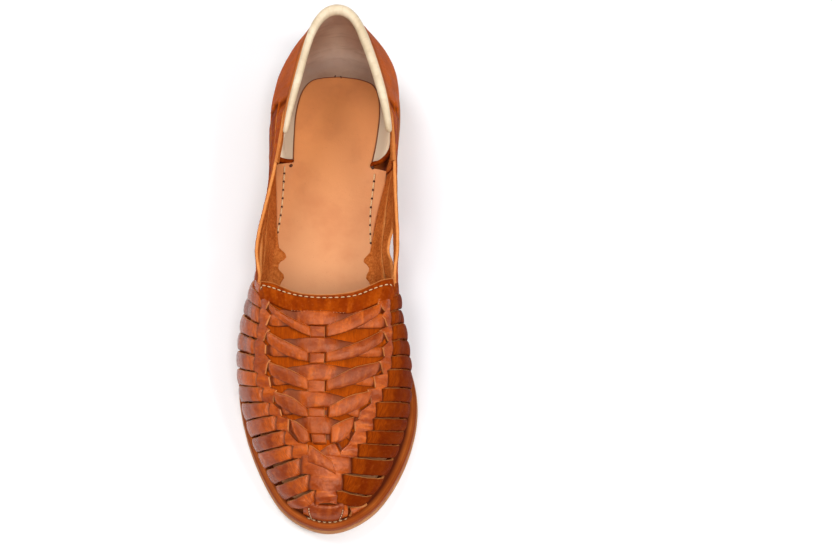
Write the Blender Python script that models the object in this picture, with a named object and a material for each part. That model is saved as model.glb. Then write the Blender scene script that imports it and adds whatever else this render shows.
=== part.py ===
"""A woven leather slip-on flat, right foot, standing empty on its sole.

Toes point along -Y, the big-toe side is +X, the floor is z = 0 and the origin is under the middle of the sole.
Every piece is worked out from two things: the stations table, which walks once round the shoe, and the
profile of the sole's underside along its length.
"""

import bpy
import bmesh
import numpy as np

# Driving dimensions, in metres
LENGTH = 0.2590          # sole, toe tip to heel end
BALL_WIDTH = 0.0886      # sole at the ball
INSTEP_HEIGHT = 0.0530   # floor to the middle of the throat edge
COLLAR_HEIGHT = 0.0685   # floor to the leather's top edge at the heel
HEEL_LIFT = 0.0080       # low stacked heel
HEEL_BREAST = 0.0660     # front face of the heel, along Y
OUTSOLE = 0.0040
MIDSOLE = 0.0040
INSOLE = 0.0024
INSOLE_PLAY = 0.0012     # insole's edge to the upper's inner face, where the wall leans over it
TOE_SPRING = 0.0060
TREAD_FRONT = -0.0750    # the sole is flat on the floor from here
TREAD_BACK = -0.0350     # to here, along Y, and then rises
ARCH_END = 0.0600        # to lie level on the heel from here on
MIDSOLE_INSET = 0.0005   # midsole's edge inside the outsole's
HEEL_INSET = 0.0006
VAMP_WALL = 0.0020
COUNTER_WALL = 0.0028
ROLL_RADIUS = 0.0024
ROLL_SHIFT = 0.0006      # the roll sits this far inside the middle of the wall
ROLL_TIP_RADIUS = 0.0009
GAP = 0.0003             # clearance between pieces that touch

# The tables below are drawn in millimetres, for a shoe of these sizes, and are scaled to the sizes above
DRAWN_LENGTH = 259.0
DRAWN_WIDTH = 88.6
DRAWN_INSTEP = 53.0
DRAWN_COLLAR = 68.5
COLLAR_SPAN = (-15.0, 60.0)   # the top's height follows the instep before this run along Y, the heel after it

# One row per station, from the toe tip to the heel.
# edge_x, edge_y: sole edge; ledge: sole showing outside the upper; top_x, top_y, top_z: inner warp line on the
# vamp, then the topline; lean: outward lean of the wall at its foot; turn: inward lean at its top (degrees).
TOE_TIP = (3.4, -129.5, 4.8, 3.1, -119.0, 22.0, 4, 56)
OUTER_SIDE = (
    (-13.8, -123.4, 4.5, -1.4, -118.2, 22.6, 10, 60),
    (-24.6, -111.4, 4.2, -5.6, -111.4, 25.2, 16, 62),
    (-33.9, -93.4, 3.8, -13.0, -97.6, 28.8, 20, 64),
    (-40.6, -73.8, 3.3, -21.3, -78.6, 33.0, 22, 65),
    (-44.0, -53.0, 2.8, -26.6, -59.0, 38.4, 24, 66),
    (-43.0, -32.0, 2.6, -28.4, -41.6, 42.4, 28, 64),
    (-38.4, -13.0, 2.3, -29.0, -28.0, 44.6, 30, 54),
    (-33.4, 3.0, 2.0, -31.6, -15.6, 45.8, 26, 30),
    (-31.0, 20.0, 1.7, -35.4, 1.0, 45.2, 20, 0),
    (-31.8, 41.0, 1.7, -32.2, 24.0, 47.0, 14, 2),
    (-33.8, 62.0, 2.0, -27.6, 48.0, 52.0, 11, 12),
    (-34.8, 80.0, 2.2, -24.2, 70.0, 57.4, 12, 20),
    (-33.6, 97.6, 2.3, -19.9, 90.5, 62.2, 14, 24),
    (-26.8, 115.4, 2.4, -15.2, 108.0, 66.0, 15, 22),
    (-14.6, 126.2, 2.5, -8.3, 119.2, 68.0, 15, 18),
)
HEEL_END = (-0.8, 129.5, 2.6, 0.2, 123.0, 68.5, 15, 17)
INNER_SIDE = (
    (19.8, -123.2, 4.8, 7.6, -118.2, 22.6, 12, 60),
    (30.0, -112.4, 5.4, 11.0, -111.4, 25.2, 16, 62),
    (38.2, -96.4, 5.9, 15.6, -97.6, 28.8, 18, 64),
    (43.6, -77.0, 5.8, 20.0, -79.0, 32.6, 20, 65),
    (43.9, -57.4, 4.8, 25.6, -59.0, 38.0, 26, 66),
    (38.6, -38.0, 3.4, 27.8, -41.6, 42.4, 34, 64),
    (31.0, -20.4, 2.4, 28.2, -27.0, 44.6, 38, 54),
    (24.6, -3.0, 2.0, 31.0, -13.0, 45.8, 37, 26),
    (21.8, 16.0, 1.6, 33.4, 4.0, 45.2, 31, -4),
    (24.8, 38.0, 1.7, 32.0, 27.0, 47.4, 22, -2),
    (29.4, 59.0, 2.0, 30.6, 50.0, 52.2, 14, 4),
    (31.4, 79.0, 2.2, 28.2, 71.0, 57.6, 12, 12),
    (31.8, 98.0, 2.3, 22.6, 92.0, 62.6, 13, 19),
    (27.2, 116.0, 2.4, 16.0, 109.4, 66.0, 14, 21),
    (13.6, 126.6, 2.5, 8.6, 119.8, 68.0, 15, 18),
)
ROWS = len(OUTER_SIDE) + 1       # row number of the heel end
THROAT_ROW = 8                   # the vamp closes over the foot in front of this row
CROWN_RISE = (0.0, 0.9, 2.0, 3.6, 5.2, 6.4, 6.8, 7.0, 6.6)   # vamp's middle above its warps, mm, rows 0 to 8
CROWN_BOW = (0.0, 0.0, 0.0, 0.0, 0.6, 2.0, 4.4, 7.6, 11.6)   # and how far it runs ahead of them, mm

# Straps across the waist, as fractions of the wall from its foot to the topline
STRAP_LINES = {"foot": 0.26, "low_top": 0.51, "mid_low": 0.565, "mid_top": 0.755, "high_low": 0.81}
WALL_LINES = (0.0, 0.04, 0.09, 0.16, 0.385, 0.66, 0.905, 1.0)   # further lines along the wall
WINDOW_ROWS = (THROAT_ROW, 11)   # open between these rows, under the lowest strap
SLIT_ROWS = (THROAT_ROW + 1 / 3, 10 + 2 / 3)
COUNTER_ROWS = (10.5, 12.5)      # the wall thickens to the counter between these rows
ROLL_ROW = 11.5                  # the collar roll starts and ends here
ROLL_RUN_IN = 1.3                # rows over which it swells to its full size

SEAT_SIDE_RADIUS = 0.0080        # hollow curve from the counter into the heel seat, at its sides
SEAT_BACK_RADIUS = 0.0112        # and at its back
SEAT_RIM = 0.0012
SEAT_ROWS = (11.0, 12.5)         # the curve grows from nothing between these rows
SEAT_TURN_ROW = 13.5             # the side radius grows to the back's from here
STEPS_PER_ROW = 3

TOE_CURVE = 1.8          # power of the toe's upward curve
WALL_HANDLE = 0.38       # Bezier handle of the side wall, share of its height
CROWN_HANDLE = 1.15      # Hermite handle of the vamp's arch, share of its width
BOW_CURVE = 2.6          # power of the arch's bow towards the toe
ROLL_SIDES = 10
ROLL_RINGS = 55

COLOURS = {
    "outsole": (0.66, 0.48, 0.27, 0.6),
    "heel": (0.52, 0.33, 0.17, 0.6),
    "midsole": (0.50, 0.18, 0.06, 0.5),
    "insole": (0.74, 0.38, 0.17, 0.7),
    "upper": (0.42, 0.10, 0.02, 0.4),
    "collar_roll": (0.80, 0.68, 0.44, 0.6),
}


def clear_scene():
    for item in list(bpy.data.objects):
        bpy.data.objects.remove(item, do_unlink=True)


def smooth_step(value, start, end):
    """0 before start, 1 after end, and the cubic 3a^2 - 2a^3 between them."""
    share = np.clip((value - start) / (end - start), 0.0, 1.0)
    return share * share * (3.0 - 2.0 * share)


def station_loop():
    """The table as one closed loop in metres and radians: tip, outer side, heel end, inner side back."""
    rows = [TOE_TIP, *OUTER_SIDE, HEEL_END, *reversed(INNER_SIDE)]
    loop = np.array(rows, dtype=float)
    wide = BALL_WIDTH / DRAWN_WIDTH
    long = LENGTH / DRAWN_LENGTH
    heel_share = smooth_step(loop[:, 4], *COLLAR_SPAN)
    vamp_tall = INSTEP_HEIGHT / DRAWN_INSTEP
    heel_tall = COLLAR_HEIGHT / DRAWN_COLLAR
    tall = vamp_tall + (heel_tall - vamp_tall) * heel_share
    loop[:, [0, 2, 3]] *= wide
    loop[:, [1, 4]] *= long
    loop[:, 5] *= tall
    loop[:, 6:] = np.radians(loop[:, 6:])
    return loop


def closed_spline_bends(loop):
    """Second derivatives of the closed cubic spline through the rows, one row a unit apart."""
    count = len(loop)
    system = np.eye(count) * 4.0 + np.roll(np.eye(count), 1, axis=0) + np.roll(np.eye(count), -1, axis=0)
    right = 6.0 * (np.roll(loop, -1, axis=0) - 2.0 * loop + np.roll(loop, 1, axis=0))
    return np.linalg.solve(system, right)


LOOP = station_loop()
BENDS = closed_spline_bends(LOOP)


def station(around):
    """All columns at places round the shoe: 0 is the toe tip, ROWS the heel end, 2 * ROWS the tip again."""
    around = np.mod(np.asarray(around, dtype=float), len(LOOP))
    low = np.floor(around).astype(int) % len(LOOP)
    high = (low + 1) % len(LOOP)
    b = (around - np.floor(around))[..., None]
    a = 1.0 - b
    return a * LOOP[low] + b * LOOP[high] + ((a**3 - a) * BENDS[low] + (b**3 - b) * BENDS[high]) / 6.0


def row_of(around):
    """Row number, 0 at the tip to ROWS at the heel, of a place on either side."""
    around = np.mod(around, 2 * ROWS)
    return np.minimum(around, 2 * ROWS - around)


def underside(y):
    """Height of the outsole's underside: flat under the ball, up to the toe, and up on to the heel lift."""
    toe = np.clip((TREAD_FRONT - y) / (LENGTH / 2 + TREAD_FRONT), 0.0, None)
    return TOE_SPRING * toe**TOE_CURVE + HEEL_LIFT * smooth_step(y, TREAD_BACK, ARCH_END)


def deck(y):
    """Height of the midsole's top."""
    return underside(y) + OUTSOLE + MIDSOLE


def outward(around):
    """Level unit vector pointing out of the sole's edge: the run of the edge turned a quarter turn."""
    step = 0.02
    run = station(np.asarray(around) + step)[..., :2] - station(np.asarray(around) - step)[..., :2]
    normal = np.stack([-run[..., 1], run[..., 0]], axis=-1)
    return normal / np.linalg.norm(normal, axis=-1, keepdims=True)


def sole_edge(around, inset):
    """Points of the sole's outline, moved in by inset."""
    return station(around)[..., :2] - outward(around) * np.asarray(inset)[..., None]


def wall_ends(around):
    """Foot and top of the upper's outer face, and the directions in which the face leaves and reaches them."""
    columns = station(around)
    out = outward(around)
    foot_level = columns[..., :2] - out * columns[..., 2:3]
    foot = np.concatenate([foot_level, (deck(foot_level[..., 1]) + GAP)[..., None]], axis=-1)
    top = columns[..., 3:6]
    lean = columns[..., 6:7]
    turn = columns[..., 7:8]
    leave = np.concatenate([out * np.sin(lean), np.cos(lean)], axis=-1)
    reach = np.concatenate([-out * np.sin(turn), np.cos(turn)], axis=-1)
    return foot, top, leave, reach, out


def wall_point(around, climb):
    """Outer face of the side wall: a cubic Bezier from foot to top, leaning out and then in.

    The handles are WALL_HANDLE of the chord, and its run along the shoe is shared evenly between the points.
    """
    foot, top, leave, reach, out = wall_ends(around)
    chord = top - foot
    size = np.linalg.norm(chord, axis=-1, keepdims=True) * WALL_HANDLE
    along = np.stack([-out[..., 1], out[..., 0], 0 * out[..., 0]], axis=-1)
    slide = along * np.sum(chord * along, axis=-1, keepdims=True) / 3.0
    first = foot + leave * size + slide
    second = top - reach * size - slide
    t = np.asarray(climb)[..., None]
    s = 1.0 - t
    return s**3 * foot + 3 * s * s * t * first + 3 * s * t * t * second + t**3 * top


def crown_point(row, across):
    """Outer face of the vamp's middle: a cubic Hermite arch between the warp lines, bowed towards the toe.

    The bow is 1 - |2q - 1|^BOW_CURVE across the arch, a little flatter in the middle than an arc.
    """
    row = np.asarray(row, dtype=float)
    left = station(row)[..., 3:6]
    right = station(2 * ROWS - row)[..., 3:6]
    chord = right - left
    size = np.linalg.norm(chord, axis=-1, keepdims=True) * CROWN_HANDLE
    rise = np.interp(row, np.arange(len(CROWN_RISE)), CROWN_RISE)[..., None] * INSTEP_HEIGHT / DRAWN_INSTEP
    slope = np.clip(4.0 * rise / np.maximum(size, 1e-9), 0.0, 0.9)
    level = chord / np.maximum(np.linalg.norm(chord, axis=-1, keepdims=True), 1e-9)
    up = np.array([0.0, 0.0, 1.0])
    start = size * (level * np.sqrt(1 - slope**2) + up * slope)
    end = size * (level * np.sqrt(1 - slope**2) - up * slope)
    q = np.asarray(across)[..., None]
    arch = ((2 * q**3 - 3 * q**2 + 1) * left + (q**3 - 2 * q**2 + q) * start
            + (3 * q**2 - 2 * q**3) * right + (q**3 - q**2) * end)
    bow = np.interp(row, np.arange(len(CROWN_BOW)), CROWN_BOW)[..., None] * LENGTH / DRAWN_LENGTH
    arch[..., 1:2] -= bow * (1 - np.abs(2 * q - 1)**BOW_CURVE)
    return arch


def make_object(name, vertices, faces):
    """A closed mesh object with doubled points welded, faces outward, and a material of its own."""
    mesh = bpy.data.meshes.new(name)
    mesh.from_pydata([tuple(v) for v in vertices], [], [tuple(f) for f in faces])
    work = bmesh.new()
    work.from_mesh(mesh)
    bmesh.ops.remove_doubles(work, verts=work.verts, dist=1e-6)
    bmesh.ops.dissolve_degenerate(work, edges=work.edges, dist=1e-6)
    bmesh.ops.recalc_face_normals(work, faces=work.faces)
    work.to_mesh(mesh)
    work.free()
    mesh.shade_smooth()
    mesh.set_sharp_from_angle(angle=np.radians(40))
    item = bpy.data.objects.new(name, mesh)
    bpy.context.scene.collection.objects.link(item)
    red, green, blue, rough = COLOURS[name]
    material = bpy.data.materials.new(name)
    material.use_nodes = True
    shader = material.node_tree.nodes["Principled BSDF"]
    shader.inputs["Base Color"].default_value = (red, green, blue, 1.0)
    shader.inputs["Roughness"].default_value = rough
    shader.inputs["Metallic"].default_value = 0.0
    item.data.materials.append(material)
    return item


def slab(name, left, right, inset, low, high, columns=5):
    """A flat piece between left and right places of the sole's edge, with its own under and top height.

    Each row is a straight line of points from left to right; the under sheet and the top sheet share the rows
    and are closed by a wall round their edge.
    """
    share = np.linspace(0.0, 1.0, columns)[None, :, None]
    left_edge = sole_edge(left, inset(left))[:, None]
    right_edge = sole_edge(right, inset(right))[:, None]
    level = left_edge * (1 - share) + right_edge * share
    y = level[..., 1]
    top = np.concatenate([level, high(y)[..., None]], axis=-1).reshape(-1, 3)
    under = np.concatenate([level, low(y)[..., None]], axis=-1).reshape(-1, 3)
    faces = grid_faces(len(left), columns, closed=False)
    return make_object(name, *thick_sheet(top, under, faces))


def grid_faces(rows, columns, closed):
    """Quads of a grid whose points are numbered row by row; a closed grid joins its last row to its first."""
    faces = []
    for row in range(rows if closed else rows - 1):
        for column in range(columns - 1):
            here = row * columns + column
            ahead = (row + 1) % rows * columns + column
            faces.append((here, here + 1, ahead + 1, ahead))
    return faces


def first_of_kind(points):
    """For each point, the number of the first point at the same place."""
    seen = {}
    return [seen.setdefault(tuple(np.round(point, 7)), index) for index, point in enumerate(points)]


def welded(points, faces):
    """The faces with each group of coinciding points under one number, less those that shrink to nothing."""
    shared = first_of_kind(points)
    kept = []
    for face in faces:
        corners = list(dict.fromkeys(shared[corner] for corner in face))
        if len(corners) > 2:
            kept.append(tuple(corners))
    return kept


def thick_sheet(outer, inner, faces):
    """Vertices and faces of the solid between a sheet and its inner copy, walled round every open edge."""
    kept = welded(outer, faces)
    count = len(outer)
    solid = list(kept) + [tuple(corner + count for corner in reversed(face)) for face in kept]
    edges = {}
    for face in kept:
        for start, end in zip(face, face[1:] + face[:1]):
            edges[(start, end)] = True
    for start, end in edges:
        if (end, start) not in edges:
            solid.append((end, start, start + count, end + count))
    return np.concatenate([outer, inner]), solid


def sheet_normals(points, faces):
    """Unit normals at the points of a sheet, from the faces that meet there."""
    kept = welded(points, faces)
    normals = np.zeros_like(points)
    for face in kept:
        corners = points[list(face)]
        centre = corners.mean(axis=0)
        area = sum(np.cross(a - centre, b - centre) for a, b in zip(corners, np.roll(corners, -1, axis=0)))
        normals[list(face)] += area
    return normals / np.maximum(np.linalg.norm(normals, axis=1, keepdims=True), 1e-12)


def counter_wall(around):
    """Wall of the upper: the vamp's leather, thickening to the stiffened counter."""
    return VAMP_WALL + (COUNTER_WALL - VAMP_WALL) * smooth_step(row_of(around), *COUNTER_ROWS)


def seat_radius(around):
    growth = smooth_step(row_of(around), SEAT_TURN_ROW, ROWS)
    return SEAT_SIDE_RADIUS + (SEAT_BACK_RADIUS - SEAT_SIDE_RADIUS) * growth


def seat_share(around):
    return smooth_step(row_of(around), *SEAT_ROWS)


def build_upper():
    """The upper: side wall right round, crown over the vamp, open at the collar, waist windows and slits."""
    around = np.arange(2 * ROWS * STEPS_PER_ROW) / STEPS_PER_ROW
    lines = sorted([*WALL_LINES, *STRAP_LINES.values()])
    climb = np.array(lines)
    wall_around, wall_climb = [part.ravel() for part in np.meshgrid(around, climb, indexing="ij")]
    wall = wall_point(wall_around, wall_climb)

    crown_rows = np.arange(THROAT_ROW * STEPS_PER_ROW + 1) / STEPS_PER_ROW
    across = np.linspace(0.0, 1.0, 9)
    crown_row, crown_across = [part.ravel() for part in np.meshgrid(crown_rows, across, indexing="ij")]
    crown = crown_point(crown_row, crown_across)

    low, slit_one, slit_two = (lines.index(STRAP_LINES[key]) for key in ("foot", "low_top", "mid_top"))
    faces = []
    for place, face in enumerate(grid_faces(len(around), len(climb), closed=True)):
        row = row_of((place // (len(climb) - 1) + 0.5) / STEPS_PER_ROW)
        column = place % (len(climb) - 1)
        in_window = WINDOW_ROWS[0] < row < WINDOW_ROWS[1] and column < low
        in_slit = SLIT_ROWS[0] < row < SLIT_ROWS[1] and column in (slit_one, slit_two)
        if not in_window and not in_slit:
            faces.append(face)
    for face in grid_faces(len(crown_rows), len(across), closed=False):
        faces.append(tuple(corner + len(wall) for corner in face))

    outer = np.concatenate([wall, crown])
    places = np.concatenate([wall_around, np.full(len(crown), 0.0)])
    climbs = np.concatenate([wall_climb, np.full(len(crown), 1.0)])
    same = first_of_kind(outer)
    normals = sheet_normals(outer, faces)[same]
    middle = outer[:len(wall)].mean(axis=0)
    if np.sum(normals[:len(wall)] * (wall - middle)) < 0:
        normals = -normals
    thick = counter_wall(places)[same, None]
    inner = outer - normals * thick

    radius = seat_radius(places)
    height = np.maximum(outer[:, 2] - deck(outer[:, 1]) - GAP - SEAT_RIM, 0.0)
    depth = np.clip(radius - height, 0.0, radius)
    hollow = (radius - np.sqrt(radius**2 - depth**2)) * seat_share(places)
    level = np.concatenate([outward(wall_around), np.zeros((len(crown), 2))])
    inner[:, :2] -= level * hollow[:, None]
    foot = climbs == 0.0
    inner[foot, :2] = outer[foot, :2] - level[foot] * (thick[foot] + hollow[foot, None])
    inner[foot, 2] = outer[foot, 2]
    return make_object("upper", *thick_sheet(outer, inner, faces))


def side_places(start, end):
    """Matching places on the outer and inner side, from one row to another."""
    rows = np.linspace(start, end, int(round((end - start) * STEPS_PER_ROW)) + 1)
    return rows, 2 * ROWS - rows


def build_outsole():
    left, right = side_places(0, ROWS)
    return slab("outsole", left, right, lambda place: 0.0 * place, underside, lambda y: underside(y) + OUTSOLE)


def build_midsole():
    left, right = side_places(0, ROWS)
    return slab("midsole", left, right, lambda place: 0.0 * place + MIDSOLE_INSET,
                lambda y: underside(y) + OUTSOLE + GAP, deck)


def breast_place(start, end):
    """Place between two others where the sole's edge crosses the heel's front face."""
    places = np.linspace(start, end, 400)
    y = sole_edge(places, 0 * places)[:, 1]
    order = np.argsort(y)
    return float(np.interp(HEEL_BREAST, y[order], places[order]))


def build_heel():
    left = np.linspace(breast_place(ROWS - 6, ROWS - 3), ROWS, 14)
    right = np.linspace(breast_place(ROWS + 6, ROWS + 3), ROWS, 14)
    return slab("heel", left, right, lambda place: 0.0 * place + HEEL_INSET,
                lambda y: 0.0 * y, lambda y: 0.0 * y + HEEL_LIFT - GAP)


def insole_inset(around):
    """Inside the vamp's wall, out to the sole's edge at the waist, and inside the hollow of the heel seat."""
    row = row_of(around)
    ledge = station(around)[..., 2]
    in_waist = (row > WINDOW_ROWS[0] + 0.1) & (row < WINDOW_ROWS[1] - 0.1)
    in_heel = row >= WINDOW_ROWS[1] - 0.1
    inset = ledge + VAMP_WALL + INSOLE_PLAY
    inset = np.where(in_waist, ledge + MIDSOLE_INSET, inset)
    return np.where(in_heel, ledge + COUNTER_WALL + seat_radius(around) + GAP, inset)


def build_insole():
    left, right = side_places(0, ROWS)
    return slab("insole", left, right, insole_inset, lambda y: deck(y) + GAP, lambda y: deck(y) + GAP + INSOLE)


def build_roll():
    """The padded collar roll: a tube along the counter's top edge that thins out at both ends."""
    around = np.linspace(ROLL_ROW, 2 * ROWS - ROLL_ROW, ROLL_RINGS)
    _, top, _, reach, out = wall_ends(around)
    turn = station(around)[:, 7:8]
    face = np.concatenate([out * np.cos(turn), np.sin(turn)], axis=1)
    run_in = smooth_step(row_of(around) - ROLL_ROW, 0.0, ROLL_RUN_IN)
    radius = (ROLL_TIP_RADIUS + (ROLL_RADIUS - ROLL_TIP_RADIUS) * run_in)[:, None]
    centre = top - face * (counter_wall(around)[:, None] / 2 + ROLL_SHIFT) + reach * (radius + GAP)
    angles = (np.arange(ROLL_SIDES) + 0.5) * 2 * np.pi / ROLL_SIDES
    spread = face[:, None] * np.cos(angles)[None, :, None] + reach[:, None] * np.sin(angles)[None, :, None]
    rings = centre[:, None] + spread * radius[:, None]
    points = rings.reshape(-1, 3)
    faces = []
    for ring in range(len(around) - 1):
        here = ring * ROLL_SIDES
        ahead = here + ROLL_SIDES
        for side in range(ROLL_SIDES):
            beside = (side + 1) % ROLL_SIDES
            faces.append((here + side, here + beside, ahead + beside, ahead + side))
    faces.append(tuple(reversed(range(ROLL_SIDES))))
    faces.append(tuple(range(len(points) - ROLL_SIDES, len(points))))
    return make_object("collar_roll", points, faces)


clear_scene()
build_outsole()
build_heel()
build_midsole()
build_insole()
build_upper()
build_roll()
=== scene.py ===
"""Finish of a woven leather slip-on flat: the right shoe of a pair, standing empty on its sole.

Toes point along -Y, the big-toe side is +X and the floor is z = 0. Shapes and tables are in millimetres
and turn to metres when a piece's mesh is made. Every piece is a surface of two parameters on a grid, laid
on the same stations table as the frame's solids.
"""

import bmesh
import bpy
import numpy as np
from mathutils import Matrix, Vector


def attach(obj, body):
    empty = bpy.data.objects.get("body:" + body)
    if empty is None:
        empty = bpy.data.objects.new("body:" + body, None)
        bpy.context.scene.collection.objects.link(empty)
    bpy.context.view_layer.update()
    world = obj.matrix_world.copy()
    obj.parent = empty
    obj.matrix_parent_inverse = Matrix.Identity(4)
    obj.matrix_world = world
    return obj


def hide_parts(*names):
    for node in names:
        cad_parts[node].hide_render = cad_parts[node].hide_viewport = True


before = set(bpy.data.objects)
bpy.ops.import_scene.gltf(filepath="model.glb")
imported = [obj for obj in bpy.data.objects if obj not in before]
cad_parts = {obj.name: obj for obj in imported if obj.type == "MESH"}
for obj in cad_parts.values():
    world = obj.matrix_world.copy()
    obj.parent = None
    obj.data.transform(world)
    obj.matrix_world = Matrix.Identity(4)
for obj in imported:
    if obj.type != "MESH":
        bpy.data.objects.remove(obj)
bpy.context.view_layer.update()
MM = 0.001

# ---------------------------------------------------------------- the shoe's shape

# One row per station, from the toe tip to the heel.
# edge_x, edge_y: sole edge; ledge: sole showing outside the upper; top_x, top_y, top_z: warp line on the
# vamp, then the topline; lean: outward lean of the wall at its foot; turn: inward lean at its top (degrees).
TOE_TIP = (3.4, -129.5, 4.8, 3.1, -119.0, 22.0, 4, 56)
OUTER_SIDE = (
    (-13.8, -123.4, 4.5, -1.4, -118.2, 22.6, 10, 60), (-24.6, -111.4, 4.2, -5.6, -111.4, 25.2, 16, 62),
    (-33.9, -93.4, 3.8, -13.0, -97.6, 28.8, 20, 64), (-40.6, -73.8, 3.3, -21.3, -78.6, 33.0, 22, 65),
    (-44.0, -53.0, 2.8, -26.6, -59.0, 38.4, 24, 66), (-43.0, -32.0, 2.6, -28.4, -41.6, 42.4, 28, 64),
    (-38.4, -13.0, 2.3, -29.0, -28.0, 44.6, 30, 54), (-33.4, 3.0, 2.0, -31.6, -15.6, 45.8, 26, 30),
    (-31.0, 20.0, 1.7, -35.4, 1.0, 45.2, 20, 0), (-31.8, 41.0, 1.7, -32.2, 24.0, 47.0, 14, 2),
    (-33.8, 62.0, 2.0, -27.6, 48.0, 52.0, 11, 12), (-34.8, 80.0, 2.2, -24.2, 70.0, 57.4, 12, 20),
    (-33.6, 97.6, 2.3, -19.9, 90.5, 62.2, 14, 24), (-26.8, 115.4, 2.4, -15.2, 108.0, 66.0, 15, 22),
    (-14.6, 126.2, 2.5, -8.3, 119.2, 68.0, 15, 18),
)
HEEL_END = (-0.8, 129.5, 2.6, 0.2, 123.0, 68.5, 15, 17)
INNER_SIDE = (
    (19.8, -123.2, 4.8, 7.6, -118.2, 22.6, 12, 60), (30.0, -112.4, 5.4, 11.0, -111.4, 25.2, 16, 62),
    (38.2, -96.4, 5.9, 15.6, -97.6, 28.8, 18, 64), (43.6, -77.0, 5.8, 20.0, -79.0, 32.6, 20, 65),
    (43.9, -57.4, 4.8, 25.6, -59.0, 38.0, 26, 66), (38.6, -38.0, 3.4, 27.8, -41.6, 42.4, 34, 64),
    (31.0, -20.4, 2.4, 28.2, -27.0, 44.6, 38, 54), (24.6, -3.0, 2.0, 31.0, -13.0, 45.8, 37, 26),
    (21.8, 16.0, 1.6, 33.4, 4.0, 45.2, 31, -4), (24.8, 38.0, 1.7, 32.0, 27.0, 47.4, 22, -2),
    (29.4, 59.0, 2.0, 30.6, 50.0, 52.2, 14, 4), (31.4, 79.0, 2.2, 28.2, 71.0, 57.6, 12, 12),
    (31.8, 98.0, 2.3, 22.6, 92.0, 62.6, 13, 19), (27.2, 116.0, 2.4, 16.0, 109.4, 66.0, 14, 21),
    (13.6, 126.6, 2.5, 8.6, 119.8, 68.0, 15, 18),
)
ROWS = len(OUTER_SIDE) + 1       # row number of the heel end
ROUND = 2 * ROWS                 # stations once round the shoe
CROWN_RISE = (0.0, 0.9, 2.0, 3.6, 5.2, 6.4, 6.8, 7.0, 6.6)
CROWN_BOW = (0.0, 0.0, 0.0, 0.0, 0.6, 2.0, 4.4, 7.6, 11.6)
WALL_HANDLE = 0.38
CROWN_HANDLE = 1.15
BOW_CURVE = 2.6

LENGTH = 259.0
TOE_SPRING = 6.0
TOE_CURVE = 1.8
HEEL_LIFT = 8.0
HEEL_BREAST = 66.0
TREAD_FRONT = -75.0
TREAD_BACK = -35.0
ARCH_END = 60.0
OUTSOLE = 4.0
MIDSOLE = 4.0
INSOLE = 2.4
GAP = 0.3                        # between curved pieces
STRAP_LEATHER = 1.7              # thicknesses of the upper's leathers
VAMP_LEATHER = 1.2
SKIVED_LEATHER = 1.0
GROUND_LEATHER = 0.9


def smooth_step(value, start, end):
    """0 before start, 1 after end, and the cubic 3a^2 - 2a^3 between them."""
    share = np.clip((value - start) / (end - start), 0.0, 1.0)
    return share * share * (3.0 - 2.0 * share)


def between(start, end, share):
    """The value a share of the way from start to end."""
    return start + (end - start) * share


def across(high, low, side):
    """The place across a strip from its low edge, side -1, to its high edge, side 1."""
    return (high + low) / 2.0 + side * (high - low) / 2.0


def length(vectors):
    """Lengths of vectors, kept as a last axis of one."""
    return np.linalg.norm(vectors, axis=-1, keepdims=True)


def unit(vectors):
    """Vectors scaled to a length of one."""
    return vectors / np.maximum(length(vectors), 1e-9)


def columns(table):
    """A table's columns as arrays."""
    return [np.array(column, dtype=float) for column in zip(*table)]


def distance_along(points):
    """Distance along a line of points from its first point to each of them."""
    return np.concatenate([[0.0], np.cumsum(length(np.diff(points, axis=0)))])


def hermite(t, start, leaving, end, arriving):
    """The cubic from start to end, with those slopes at its two ends."""
    return ((2 * t**3 - 3 * t**2 + 1) * start + (t**3 - 2 * t**2 + t) * leaving
            + (3 * t**2 - 2 * t**3) * end + (t**3 - t**2) * arriving)


def through(x, places, values):
    """Smooth curve through a table: cubic Hermite pieces whose slopes are the neighbours' mean slope."""
    places, values = np.array([places, values], dtype=float)
    slopes = np.gradient(values, places)
    x = np.clip(x, places[0], places[-1])
    low = np.clip(np.searchsorted(places, x, side="right") - 1, 0, len(places) - 2)
    width = places[low + 1] - places[low]
    return hermite((x - places[low]) / width, values[low], width * slopes[low],
                   values[low + 1], width * slopes[low + 1])


def closed_spline_bends(loop):
    """Second derivatives of the closed cubic spline through the rows, one row a unit apart."""
    ones = np.eye(len(loop))
    system = ones * 4.0 + np.roll(ones, 1, axis=0) + np.roll(ones, -1, axis=0)
    return np.linalg.solve(system, 6.0 * (np.roll(loop, -1, axis=0) - 2.0 * loop + np.roll(loop, 1, axis=0)))


LOOP = np.array([TOE_TIP, *OUTER_SIDE, HEEL_END, *reversed(INNER_SIDE)], dtype=float)
LOOP[:, 6:] = np.radians(LOOP[:, 6:])
BENDS = closed_spline_bends(LOOP)


def station(around):
    """All columns at places round the shoe: 0 is the toe tip, ROWS the heel end, ROUND the tip again."""
    around = np.mod(np.asarray(around, dtype=float), ROUND)
    low = np.floor(around).astype(int) % ROUND
    high = (low + 1) % ROUND
    b = (around - np.floor(around))[..., None]
    a = 1.0 - b
    return a * LOOP[low] + b * LOOP[high] + ((a**3 - a) * BENDS[low] + (b**3 - b) * BENDS[high]) / 6.0


def row_of(around):
    """Row number, 0 at the tip to ROWS at the heel, of a place on either side."""
    around = np.mod(around, ROUND)
    return np.minimum(around, ROUND - around)


def underside(y):
    """Height of the outsole's underside: flat under the ball, up to the toe, and up on to the heel lift."""
    toe = np.clip((TREAD_FRONT - y) / (LENGTH / 2 + TREAD_FRONT), 0.0, None)
    return TOE_SPRING * toe**TOE_CURVE + HEEL_LIFT * smooth_step(y, TREAD_BACK, ARCH_END)


def deck(y):
    """Height of the midsole's top."""
    return underside(y) + OUTSOLE + MIDSOLE


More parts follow.
